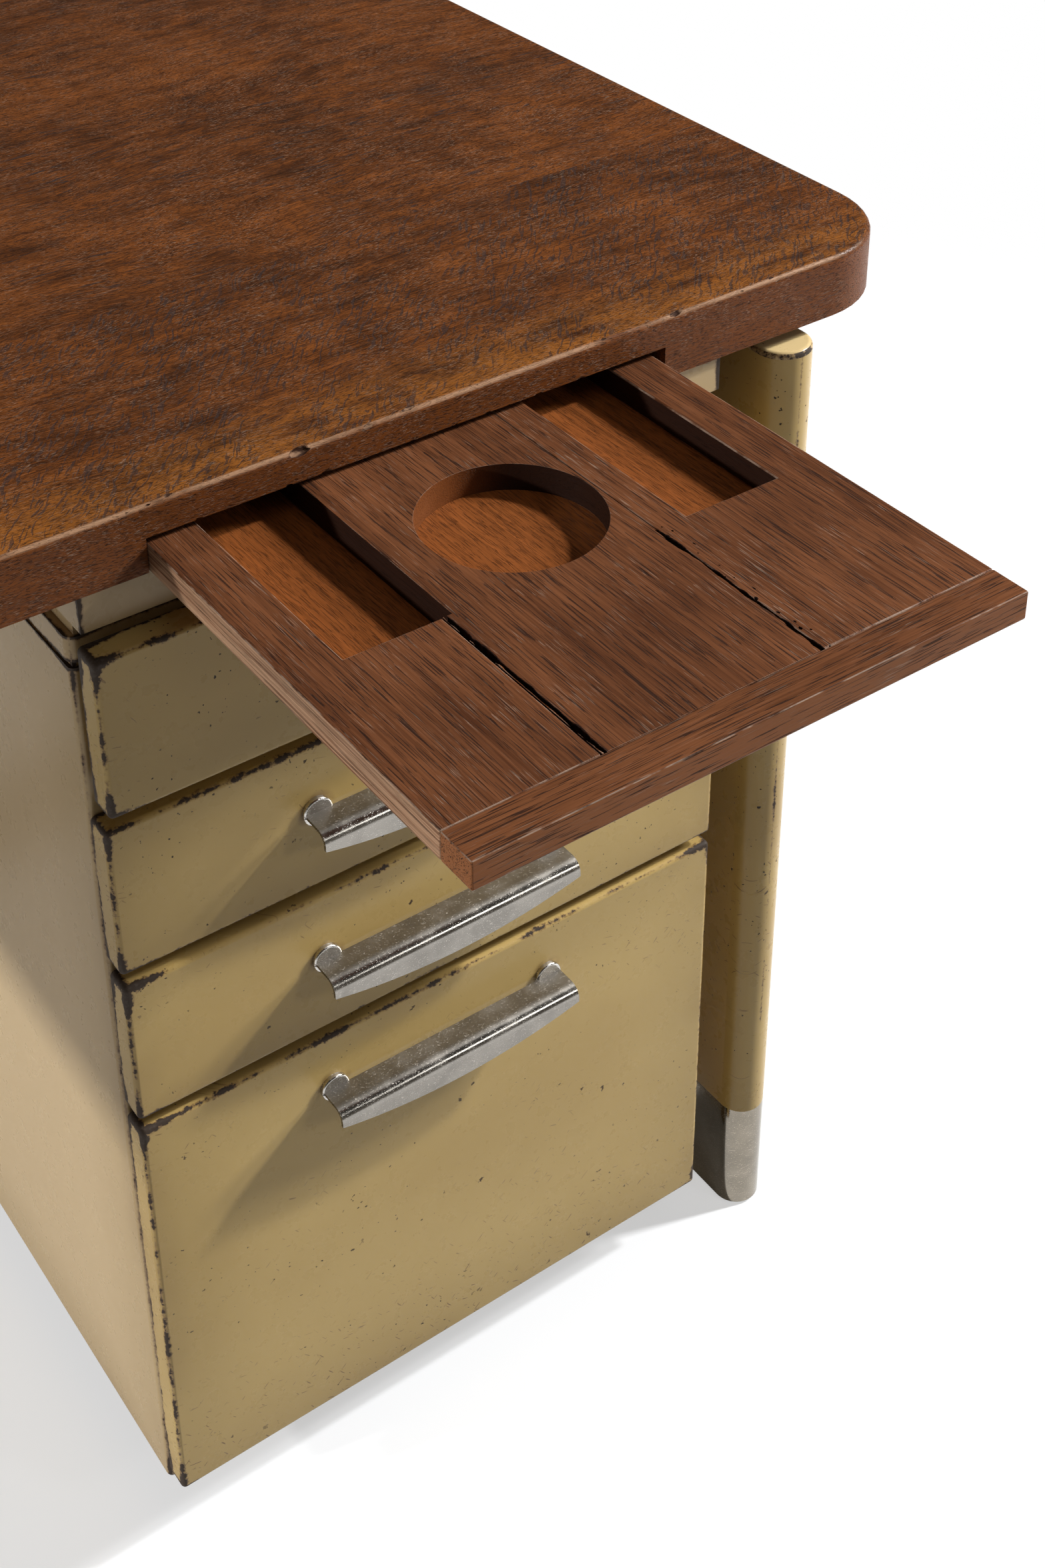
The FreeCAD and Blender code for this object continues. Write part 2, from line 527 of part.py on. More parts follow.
# Drawers, from the uppermost to the file drawer
drawers = (
    (1, "first_z", "drawer_height", "tray_height", "-first_out", "drawer_height / 2 + pull_rise"),
    (2, "second_z", "drawer_height", "tray_height", "second_in", "drawer_height / 2 + pull_rise"),
    (3, "third_z", "drawer_height", "tray_height", "0", "drawer_height / 2 + pull_rise"),
    (4, "file_z", "file_height", "file_tray_height", "0", "file_height - file_pull_drop"),
)
runners = []
for drawer, base_z, height, tray_height, shift, pull_z in drawers:
    place = ("pedestal_x", "face_y + " + shift, base_z)
    front = new_body("drawer_front_%d" % drawer, place)
    add_box(front, ("front_width", "front_depth", height), ("0", "0", "0"))
    rear = number("front_depth")
    fillet(front, "front_round", lambda edge: not lies(edge, y=rear))
    add_box(front, ("front_width - 2 * front_sheet", "front_depth - 2 * front_sheet",
                    height + " - 2 * front_sheet"),
            ("front_sheet", "front_sheet", "front_sheet"), cut=True)
    add_box(front, ("front_width - 2 * front_flange", "front_depth", height + " - 2 * front_flange"),
            ("front_flange", "front_depth - 2 * front_sheet", "front_flange"), cut=True)
    nodes.append(front)

    tray = new_body("drawer_tray_%d" % drawer, place)
    add_box(tray, ("tray_width", "tray_depth", tray_height), ("tray_x", "front_depth", "tray_lift"))
    add_box(tray, ("tray_width - 2 * front_sheet", "tray_depth - 2 * front_sheet", tray_height),
            ("tray_x + front_sheet", "front_depth + front_sheet", "tray_lift + front_sheet"), cut=True)
    nodes.append(tray)

    # pull: a plate with a lip whose lower edge is an arc, folded over a rounded nose
    pull = new_body("drawer_handle_%d" % drawer,
                    ("pull_x", "face_y + " + shift + " - pull_reach", base_z + " + " + pull_z))
    lip = new_sketch(pull, "lip", "XZ_Plane", "-pull_sheet")
    half, end, sag = number("pull_length / 2"), number("lip_end"), number("lip_middle")
    vector = FreeCAD.Vector
    upper = number("pull_sheet / 2")
    lip.addGeometry(Part.LineSegment(vector(-half, upper, 0), vector(half, upper, 0)), False)
    lip.addGeometry(Part.LineSegment(vector(half, upper, 0), vector(half, -end, 0)), False)
    lip.addGeometry(Part.Arc(vector(-half, -end, 0), vector(0, -sag, 0), vector(half, -end, 0)), False)
    lip.addGeometry(Part.LineSegment(vector(-half, -end, 0), vector(-half, upper, 0)), False)
    pin(lip, 0, 1, "-pull_length / 2", "pull_sheet / 2")
    pin(lip, 0, 2, "pull_length / 2", "pull_sheet / 2")
    join(lip, 1, 1, 0, 2)
    pin(lip, 1, 2, "pull_length / 2", "-lip_end")
    pin(lip, 3, 1, "-pull_length / 2", "-lip_end")
    join(lip, 2, 1, 3, 1)
    join(lip, 2, 2, 1, 2)
    join(lip, 3, 2, 0, 1)
    radius = lip.addConstraint(Sketcher.Constraint("Radius", 2, number("lip_radius")))
    lip.setExpression("Constraints[%d]" % radius, bound("lip_radius"))
    add_pad(pull, lip, "pull_sheet")
    add_box(pull, ("pull_length", "pull_reach - pull_gap", "pull_sheet"),
            ("-pull_length / 2", "0", "-pull_sheet / 2"))
    hollow = number("pull_sheet")
    fillet(pull, "pull_nose - pull_sheet", lambda edge: lies(edge, y=hollow, z=-upper))
    fillet(pull, "pull_nose", lambda edge: lies(edge, y=0.0, z=upper))
    nodes.append(pull)

    # studs: flat discs on the front; the plate's rear edge sits in their slots
    studs = []
    for side, sign in (("left", "-"), ("right", "+")):
        stud = new_body("stud_%s_%d" % (side, drawer),
                        ("pull_x %s (pull_length / 2 - stud_inset)" % sign, "face_y + " + shift,
                         base_z + " + " + pull_z))
        disc = stud.newObject("PartDesign::AdditiveCylinder", stud.Label + "_disc")
        disc.Placement = FreeCAD.Placement(FreeCAD.Vector(), FreeCAD.Rotation(FreeCAD.Vector(1, 0, 0), 90))
        bind(disc, {"Radius": "stud_radius", "Height": "stud_length"})
        outer = number("-stud_length")
        fillet(stud, "stud_round", lambda edge: lies(edge, y=outer))
        add_box(stud, ("2 * stud_radius", "stud_length", "pull_sheet"),
                ("-stud_radius", "-pull_gap - stud_length", "-pull_sheet / 2"), cut=True)
        studs.append(stud)
    nodes.append(group("drawer_studs_%d" % drawer, studs))

    # runners: one angle on each carcass wall, with its ledge under the tray
    ledge_z = "%s + tray_lift - runner_clear - runner_sheet" % base_z
    run = "carcass_depth - 2 * steel - 2 * runner_inset"
    reach = "tray_side + runner_ledge"
    start = "face_y + carcass_y + steel + runner_inset"
    inner_left, inner_right = "pedestal_x + steel", "pedestal_x + front_width - steel"
    for side, ledge_x, wall_x in (
            ("left", inner_left, inner_left),
            ("right", "%s - (%s)" % (inner_right, reach), inner_right + " - runner_sheet")):
        angle = doc.addObject("Part::Fuse", "runner_%s_%d" % (side, drawer))
        angle.Base = plain_box("runner_ledge_%s_%d" % (side, drawer), (reach, run, "runner_sheet"),
                               (ledge_x, start, ledge_z))
        angle.Tool = plain_box("runner_wall_%s_%d" % (side, drawer), ("runner_sheet", run, "runner_height"),
                               (wall_x, start, ledge_z))
        runners.append(angle)
nodes.append(group("drawer_runners", runners))

# Writing slide; its pieces are measured from its front left lower corner
slide = ("pedestal_x + slide_inset", "face_y - slide_out", "slide_z")
pen_right = "slide_width - pen_inset - pen_width"
planks = (
    ("slide_plank_left", "0", "joint_left - plank_gap / 2", ("pen_inset",), False),
    ("slide_plank_middle", "joint_left + plank_gap / 2", "joint_right - joint_left - plank_gap",
     ("pen_inset",), True),
    ("slide_plank_right", "joint_right + plank_gap / 2", "slide_width - joint_right - plank_gap / 2",
     (pen_right,), False),
)
for label, start, width, recesses, has_cup in planks:
    plank = new_body(label, slide)
    add_box(plank, (width, "plank_length", "slide_thick"), (start, "strip_depth", "0"))
    for recess in recesses:
        add_box(plank, ("pen_width", "pen_length", "slide_thick"), (recess, "pen_setback", "0"), cut=True)
    if has_cup:
        add_hole(plank, "cup_radius", "slide_thick", ("cup_x", "cup_setback", "0"))
    nodes.append(plank)

for label, start in (("slide_front_strip", "0"), ("slide_rear_strip", "slide_length - strip_depth")):
    strip = new_body(label, slide)
    add_box(strip, ("slide_width", "strip_depth", "slide_thick"), ("0", start, "0"))
    nodes.append(strip)

floor = new_body("slide_floor", slide)
add_box(floor, ("floor_width", "pen_setback + pen_length + floor_margin - strip_depth", "floor_thick"),
        ("pen_inset - floor_margin", "strip_depth", "-floor_thick"))
nodes.append(floor)

ledge_places = (
    ("ledge_left", "slide_side_gap + 2 * ledge_lap", "slide_inset - slide_side_gap - ledge_lap"),
    ("ledge_right", "slide_slack + 2 * ledge_lap", "slide_inset + slide_width - ledge_lap"),
)
ledges = [plain_box(name, (width, "channel_depth", "ledge_thick"),
                    ("pedestal_x + " + x, "face_y + spacer_setback + steel", "under_z - ledge_thick"))
          for name, width, x in ledge_places]
nodes.append(group("slide_ledges", ledges))

doc.recompute()

for item in doc.Objects:
    if "Invalid" in item.State or "Error" in item.State:
        raise RuntimeError("%s failed: %s" % (item.Label, item.State))
for node in nodes:
    if node.Shape.isNull() or not node.Shape.isValid() or not node.Shape.Solids:
        raise RuntimeError("%s has no valid solid" % node.Label)

os.makedirs("parts", exist_ok=True)
for node in nodes:
    node.Shape.exportStep("parts/%s.step" % node.Label)
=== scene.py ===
import math

import bmesh
import bpy
from bpy.props import FloatProperty, FloatVectorProperty, IntProperty, PointerProperty
from mathutils import Matrix, Vector


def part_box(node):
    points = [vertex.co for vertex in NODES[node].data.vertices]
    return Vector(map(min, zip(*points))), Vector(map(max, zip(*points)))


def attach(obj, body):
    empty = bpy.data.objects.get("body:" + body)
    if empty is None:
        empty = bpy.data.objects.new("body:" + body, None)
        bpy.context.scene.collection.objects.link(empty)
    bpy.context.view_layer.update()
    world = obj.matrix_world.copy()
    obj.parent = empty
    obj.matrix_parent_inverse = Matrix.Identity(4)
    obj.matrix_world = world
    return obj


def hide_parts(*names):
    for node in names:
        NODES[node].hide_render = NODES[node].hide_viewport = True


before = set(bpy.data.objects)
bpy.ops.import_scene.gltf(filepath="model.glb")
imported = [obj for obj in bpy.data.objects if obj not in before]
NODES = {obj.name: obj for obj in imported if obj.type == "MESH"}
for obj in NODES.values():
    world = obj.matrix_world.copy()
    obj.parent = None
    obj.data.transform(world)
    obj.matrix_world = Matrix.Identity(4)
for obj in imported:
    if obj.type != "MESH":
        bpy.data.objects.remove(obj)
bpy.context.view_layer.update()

bl_info = {
    "name": "Oak and Steel Desk",
    "version": (1, 0, 0),
    "blender": (4, 5, 0),
    "location": "3D View > Sidebar > Desk",
    "description": "Dresses the packed desk: worn oak, chipped cream lacquer and polished pulls",
    "category": "Object",
}

DRAWERS = (1, 2, 3, 4)
CORNERS = ("front_right", "front_left", "rear_right", "rear_left")
BOARDS = ("front", "second", "third", "rear")
PLANKS = ("left", "middle", "right")

# Sizes in metres
NOSE_RADIUS = 0.0166
LID_WIDTH = 0.02
ROUNDING = 0.0010
MOUTH_ROOM = 0.0038
SPLIT_SPAN = (-0.004, 0.122)
SEAM_SPAN = (-0.001, 0.116)
PIT_SPAN = (0.002, 0.116)
PIT_OFFSET = 0.003
PIT_SPREAD = (0.005, 0.004, 0.0)
WELD = 1e-6
FLOOR_REACH = 9.0
DESK_MIDDLE = (0.4, -0.1)

# Distances in metres over which a finish fades in or out
RUBBED_REACH = (0.006, 0.060)
TORN_REACH = (0.010, 0.042)
WALL_REACH = (0.002, 0.005)
GRIME_REACH = (0.0, 0.022)
SHADE_REACH = (0.0, 0.075)
NEAR_REACH = (0.004, 0.040)
FOOT_REACH = (0.015, 0.120)
HALO_REACH = (0.0088, 0.0135)
CORNER_REACH = (0.006, 0.026)
LEFT_REACH = (0.004, 0.010)
SHADOW_REACH = (0.9, 1.8)

# Distances in metres from a chip's outline over which steel, rust and rubbed grey steel come up
CHIP_RIM = (-0.0001, 0.0003)
RUST_RIM = (-0.0012, 0.0001)
GREY_RIM = (0.0012, 0.0034)

# Heights in metres of each finish's fine relief
TOP_RELIEF = 0.0005
TORN_RELIEF = 0.0004
SLIDE_RELIEF = 0.0006
RECESS_RELIEF = 0.0004
LACQUER_RELIEF = 0.0002
SCRATCH_RELIEF = 0.00002
STEEL_RELIEF = 0.0002

# Angles in radians
RAY_ANGLE = math.radians(-48.0)
STROKE_ANGLES = (0.95, -0.75, 0.30)
SCRATCH_TURNS = ((0.1, 0.2, 0.9), (0.3, -0.1, -0.6), (-0.2, 0.4, 0.2))
LUMP_TURN = (3.0, 0.2, 0.3)
FLAT_ANGLE = math.radians(0.3)
ARRIS_ANGLE = math.radians(40.0)
SHARP_ANGLE = math.radians(35.0)
ALONG_Y = (0.0, 0.0, math.pi / 2)
NO_TURN = (0.0, 0.0, 0.0)

# Waves per metre of a pattern along X, Y and Z
CREST_WAVES = (12.0, 12.0, 60.0)
STROKE_WAVES = (95.0, 620.0, 1.0)
PULL_WAVES = (30.0, 1200.0, 1200.0)
STUD_WAVES = (300.0, 300.0, 300.0)
SHOE_WAVES = (1200.0, 1200.0, 40.0)

# How far a pattern moves from one piece to the next, and from one layer to the next
TOP_STEP = (0.73, 0.31, 0.17)
SLIDE_STEP = (0.61, 0.27, 0.13)
LACQUER_STEP = (0.43, 0.29, 0.53)
DUST_AND_GLINT_SHIFT = (3.0, 5.0, 1.0)
DASH_SHIFT = (1.0, 7.0, 2.0)
NO_SHIFT = (0.0, 0.0, 0.0)

# Figure of the boards: strength of the rays, and how far the grain sways in metres
QUARTERED = {"rays": 1.0, "swirl": 0.020}
PLAIN_SAWN = {"rays": 0.0, "swirl": 0.060}

# Nicks and pits: scatter in sizes, stretch along X, Y and Z, and the mouth's share of number and size
EDGE_SPREAD = (1.0, 0.5, 0.5)
EDGE_STRETCH = (2.0, 0.8, 0.8)
MOUTH_SPREAD = (1.0, 0.2, 0.2)
MOUTH_STRETCH = (2.0, 0.6, 0.6)
MOUTH_RATIO = 6
MOUTH_SIZE = 0.5
PIT_STRETCH = (0.5, 2.0, 0.6)
SMALLEST_LUMP = 0.22

# Splits: height in plank thicknesses, number of steps, narrowest and widest place in widths, and the
# share of the opening that the seam is wide and the split wanders
BLADE_HEIGHT = 2.6
BLADE_STEPS = 90
NARROWEST, WIDEST = 0.15, 1.5
SEAM_SHARE = 0.8

# How much more or less prone to chips a place is, in chip sizes, and how ragged a chip's outline is
CHIP_START = -0.50
CORNER_BONUS = 3.5
LEFT_BONUS = 0.7
NOSE_PRONE = -0.7
LID_PRONE = -1.1
RAGGED = 9.0

# Seeds that keep the marks of two groups of pieces apart
FRONT_SEED = 10
TRAY_SEED = 20
LEG_SEED = 30
LID_SEED = 40
BEAM_SEED = 50
STRIP_SEED = 4
SEAM_SEED = 4.0
GAPE_SEED = 7.0

# The camera: picture and optical axis in pixels, place in metres, azimuth, elevation and roll in degrees,
# and the sensor's width in millimetres
PICTURE = (1568.0, 2352.0)
AXIS = (678.72, 480.46)
CAMERA_PLACE = (-0.0710, -1.0633, 1.3094)
CAMERA_ANGLES = (-33.77, 28.27, -1.21)
SENSOR = 36.0

# Each lamp: its setting, width and height, place, and the point that it looks at
LAMPS = (
    ("key", (0.25, 0.40), (4.20, -1.36, 3.45), (0.40, -0.25, 0.45)),
    ("low", (0.30, 0.60), (4.20, -1.36, 2.45), (0.40, -0.25, 0.45)),
    ("spot", (0.16, 0.16), (-3.70, 0.60, 1.55), (0.26, -0.10, 0.20)),
    ("fill", (0.60, 0.60), (-3.40, 0.30, 0.34), (0.26, -0.10, 0.40)),
    ("front", (0.40, 0.40), (2.00, -3.05, 1.98), (0.45, -0.25, 0.35)),
    ("overhead", (1.60, 1.60), (0.50, -1.30, 3.10), (0.45, -0.40, 0.60)),
)

# How far the floor near the desk shows as plain white, and what reflections find around and overhead
FLOOR_GLOW = 0.52
HORIZON_GLOW = 0.22
ZENITH_GLOW = 0.06

NO_STRETCH = (1.0, 1.0, 1.0)
NOISE_MIDDLE = (0.5, 0.5, 0.5)
WHITE = (1.0, 1.0, 1.0)


def colour(name, default, about):
    """A colour that a user may change."""
    return FloatVectorProperty(name=name, description=about, subtype="COLOR", size=3, min=0.0, max=1.0,
                               default=default)


def length(name, default, about):
    """A length in metres that a user may change."""
    return FloatProperty(name=name, description=about, unit="LENGTH", default=default, min=0.0)


def power(name, default, about):
    """A light's power that a user may change."""
    return FloatProperty(name=name, description=about, unit="POWER", default=default, min=0.0)


def share(name, default, about):
    """A share from none to all that a user may change."""
    return FloatProperty(name=name, description=about, subtype="FACTOR", default=default, min=0.0, max=1.0)


def number(name, default, about):
    """A whole number that a user may change."""
    return IntProperty(name=name, description=about, default=default, min=0)


class OakTopSettings(bpy.types.PropertyGroup):
    """Finish of the oak top."""

    honey: colour("Honey", (0.205, 0.063, 0.0135), "Bright figure of the oiled oak")
    brown: colour("Brown", (0.102, 0.031, 0.0075), "Main tone of the oiled oak")
    umber: colour("Umber", (0.030, 0.010, 0.0035), "Dark clouds and pores of the oak")
    gold: colour("Gold", (0.280, 0.098, 0.016), "Oak that hands have rubbed along the front edge")
    fleck: colour("Fleck", (0.034, 0.024, 0.023), "Rays of the quartered front board")
    # Pale streaks along the pores: partly wax and dust in them, partly painted glints
    face: colour("Front face", (0.150, 0.046, 0.011), "Reddish front face of the top")
    # Pale bare wood of the rubbed upper edge with a painted highlight along the crest; also the pale of
    # torn fibres and of nicks in the front face
    crest_and_highlight: colour("Worn crest", (0.390, 0.225, 0.130), "Bare wood on the rubbed upper edge")
    dust_and_glint: colour("Pore filling", (0.260, 0.165, 0.110), "Wax and dust in the open pores")
    nicks: number("Nicks", 120, "Number of nicks along the front edge")
    nick: length("Nick", 0.0034, "Longest nick in the front edge")
    seed: number("Seed", 5, "Places the nicks")


class OakSlideSettings(bpy.types.PropertyGroup):
    """Finish of the writing slide."""

    plank: colour("Plank", (0.190, 0.070, 0.028), "Dry brown of the planks")
    shade: colour("Shade", (0.060, 0.020, 0.008), "Dark bands of the planks")
    # Dark of the pores and pits; it also paints the recess walls that face -X near black as painted shade
    pore: colour("Pore", (0.014, 0.006, 0.004), "Open pores and pits")
    # Pale streaks and specks in the slide's pores and torn band, partly dust and partly painted glints;
    # also a painted highlight on the arrises
    dust_and_glint: colour("Pore filling", (0.330, 0.235, 0.175), "Dust in the open pores")
    side: colour("Rubbed side", (0.400, 0.245, 0.148), "Pale rubbed left and right edges")
    strip: colour("Strip", (0.270, 0.098, 0.030), "Redder oak of the front strip")
    floor: colour("Recess floor", (0.290, 0.086, 0.020), "Warm oak under the recesses")
    crack: length("Crack", 0.0030, "Opening of the split between the left and the middle plank")
    arris: length("Arris", 0.0009, "Softened edges of the planks and strips")
    pits: number("Pits", 22, "Number of pits beside the right joint")
    pit: length("Pit", 0.0030, "Longest pit")
    seed: number("Seed", 3, "Places the split and the pits")


class LacquerSettings(bpy.types.PropertyGroup):
    """Finish of the lacquered steel."""

    cream: colour("Cream", (0.530, 0.372, 0.136), "Fresh lacquer")
    ochre: colour("Ochre", (0.440, 0.294, 0.096), "Aged and handled lacquer")
    rust: colour("Rust", (0.100, 0.042, 0.019), "Brown rim of a chip")
    bare: colour("Bare steel", (0.027, 0.018, 0.013), "Dark steel inside a chip")
    pale: colour("Pale cream", (0.490, 0.365, 0.215), "Lacquer of the carcass, less yellow than the fronts")
    # Painted light: a paler, brighter cream that stands in for the light falling on the lids under the top
    painted_lid_light: colour("Fresh cream", (0.800, 0.620, 0.330), "Clean lacquer of the lids under the top")
    grey: colour("Grey steel", (0.072, 0.057, 0.045), "Rubbed steel in the middle of a wide chip")
    chip: length("Chip", 0.0007, "How far chips reach in from an edge")


class MetalSettings(bpy.types.PropertyGroup):
    """Finish of the pulls, the shoes and the fittings."""

    polished: colour("Polished", (0.300, 0.280, 0.250), "Pulls")
    stud: colour("Stud", (0.600, 0.575, 0.535), "Studs of the pulls")
    shoe: colour("Shoe", (0.320, 0.285, 0.232), "Shoes of the legs")
    steel: colour("Steel", (0.330, 0.320, 0.300), "Runners, ledges and screws")


class StageSettings(bpy.types.PropertyGroup):
    """Studio around the desk."""

    floor: colour("Floor", (0.850, 0.862, 0.880), "Pale studio floor")
    key: power("Key", 265.0, "Power of the high light at the right")
    low: power("Low", 118.0, "Power of the low light at the right")
    spot: power("Spot", 125.0, "Power of the small light at the left")
    fill: power("Fill", 41.0, "Power of the wide light at the left")
    front: power("Front", 10.0, "Power of the light at the front")
    overhead: power("Overhead", 5.0, "Power of the wide light overhead")
    ambient: share("Ambient", 0.13, "Level of the surrounding light")
    warmth: colour("Warmth", (1.0, 0.91, 0.80), "Tint of the surrounding light")
    bounce: share("Bounce", 0.30, "Share of light that the floor gives back")
    lens: FloatProperty(name="Lens", description="Focal length of the camera", default=51.42, unit="CAMERA")


class Wire:
    """One socket of a material. Python's operators on it add Math nodes."""

    def __init__(self, paint, socket):
        self.paint = paint
        self.socket = socket

    def _math(self, operation, *values):
        return self.paint.add("ShaderNodeMath", {"operation": operation}, dict(enumerate(values)))

    def __add__(self, other):
        return self._math("ADD", self, other)

    __radd__ = __add__

    def __sub__(self, other):
        return self._math("SUBTRACT", self, other)

    def __rsub__(self, other):
        return self._math("SUBTRACT", other, self)

    def __mul__(self, other):
        return self._math("MULTIPLY", self, other)

    __rmul__ = __mul__

    def __neg__(self):
        return self._math("MULTIPLY", self, -1.0)

    def __abs__(self):
        return self._math("ABSOLUTE", self)

    def root(self):
        return self._math("SQRT", self)

    def most(self, other):
        return self._math("MAXIMUM", self, other)

    def least(self, other):
        return self._math("MINIMUM", self, other)

    def rise(self, low, high):
        """Goes smoothly from 0 at low to 1 at high."""
        return self.paint.add("ShaderNodeMapRange", {"interpolation_type": "SMOOTHSTEP"},
                              {"Value": self, "From Min": low, "From Max": high})


class Paint:
    """A procedural material under construction."""

    def __init__(self, name):
        self.material = bpy.data.materials.new(name)
        self.material.use_nodes = True
        self.open(self.material.node_tree)
        self.place = self.add("ShaderNodeTexCoord", out="Object")
        self.facing = self.add("ShaderNodeTexCoord", out="Normal")

    @classmethod
    def of_tree(cls, tree):
        """The same helper for another node tree, such as the world's."""
        paint = cls.__new__(cls)
        paint.open(tree)
        return paint

    def open(self, tree):
        self.nodes = tree.nodes
        self.links = tree.links
        self.nodes.clear()

    def add(self, kind, settings=None, sockets=None, out=0):
        """Adds a node: first its settings, then the values or links of its sockets."""
        node = self.nodes.new(kind)
        for key, value in (settings or {}).items():
            if key == "stops":
                self._stops(node.color_ramp, value)
            else:
                setattr(node, key, value)
        for key, value in (sockets or {}).items():
            if isinstance(value, Wire):
                self.links.new(value.socket, node.inputs[key])
            else:
                node.inputs[key].default_value = value
        return Wire(self, node.outputs[out])

    @staticmethod
    def _stops(ramp, stops):
        while len(ramp.elements) < len(stops):
            ramp.elements.new(0.5)
        for element, (position, shade) in zip(ramp.elements, stops):
            element.position = position
            element.color = (*shade, 1.0)

    def turned(self, place, scale=NO_STRETCH, turn=NO_TURN, shift=NO_SHIFT):
        """Coordinates turned and shifted, then stretched for a pattern."""
        moved = self.add("ShaderNodeMapping", {"vector_type": "POINT"},
                         {"Vector": place, "Location": shift, "Rotation": turn})
        return self.add("ShaderNodeVectorMath", {"operation": "MULTIPLY"}, {0: moved, 1: scale})

    def own_place(self, seed, step, turn=NO_TURN):
        """Object coordinates, moved so that each seed has its own part of a pattern."""
        return self.turned(self.place, turn=turn, shift=times(step, seed))

    def noise(self, place, scale=1.0, detail=3.0, roughness=0.55):
        """Noise from 0 to 1, with its waves per metre."""
        return self.add("ShaderNodeTexNoise", None,
                        {"Vector": place, "Scale": scale, "Detail": detail, "Roughness": roughness})

    def streaks(self, place, along, across, detail=1.0, roughness=0.55, **way):
        """Noise drawn out along X, from its waves per metre along and across the grain."""
        drawn = self.turned(place, (along, across, across), **way)
        return self.noise(drawn, detail=detail, roughness=roughness)

    def drift(self, place, scale):
        """A soft noise with three parts, each about zero."""
        soft = self.add("ShaderNodeTexNoise", None,
                        {"Vector": place, "Scale": scale, "Detail": 2.0}, "Color")
        return self.add("ShaderNodeVectorMath", {"operation": "SUBTRACT"}, {0: soft, 1: NOISE_MIDDLE})

    def warped(self, place, scale, amount):
        """Coordinates pushed about by a soft noise."""
        pushed = self.add("ShaderNodeVectorMath", {"operation": "SCALE"},
                          {0: self.drift(place, scale), "Scale": amount})
        return self.add("ShaderNodeVectorMath", {"operation": "ADD"}, {0: place, 1: pushed})

    def ray(self, kind):
        """One for rays of a kind, such as the camera's, and zero for others."""
        return self.add("ShaderNodeLightPath", out="Is %s Ray" % kind)

    def parts(self, vector):
        """The three parts of a vector."""
        split = self.add("ShaderNodeSeparateXYZ", None, {0: vector})
        return split, *(Wire(self, split.socket.node.outputs[axis]) for axis in "YZ")

    def blend(self, factor, first, second):
        """Mixes two colours."""
        first = first if isinstance(first, Wire) else (*first, 1.0)
        second = second if isinstance(second, Wire) else (*second, 1.0)
        return self.add("ShaderNodeMix", {"data_type": "RGBA"},
                        {0: factor, 6: first, 7: second}, 2)

    def dent(self, height, relief):
        """A bump from a height, with the size of one unit of it in metres."""
        return self.add("ShaderNodeBump", None, {"Height": height, "Distance": relief, "Strength": 1.0})

    def insets(self, low, high):
        """Distances on the surface of a box to its nearest edge and to its nearest corner."""
        middle, half = (low + high) / 2, (high - low) / 2
        offset = self.add("ShaderNodeVectorMath", {"operation": "SUBTRACT"},
                          {0: self.place, 1: tuple(middle)})
        size = self.add("ShaderNodeVectorMath", {"operation": "ABSOLUTE"}, {0: offset})
        x, y, z = self.parts(self.add("ShaderNodeVectorMath", {"operation": "SUBTRACT"},
                                      {0: tuple(half), 1: size}))
        corner = x.most(y).most(z)
        return x + y + z - corner - x.least(y).least(z), corner

    def surface(self, base, roughness, normal, **fixed):
        """Closes the material with a Principled surface."""
        sockets = {"Base Color": base, "Roughness": roughness, "Normal": normal}
        sockets.update({key.replace("_", " "): value for key, value in fixed.items()})
        self.add_output(self.add("ShaderNodeBsdfPrincipled", None, sockets))
        return self.material

    def add_output(self, shader):
        """Shows a shader on the surface."""
        output = self.nodes.new("ShaderNodeOutputMaterial")
        self.links.new(shader.socket, output.inputs["Surface"])


def distance(first, second, point):
    """The distance of two coordinates from a point in their plane."""
    across, along = first - point[0], second - point[1]
    return (across * across + along * along).root()


def dress(name, material):
    """Gives a CAD node its material."""
    for slot in NODES[name].material_slots:
        slot.material = material


def times(values, factor):
    """A colour or a size with each part multiplied."""
    return tuple(value * factor for value in values)


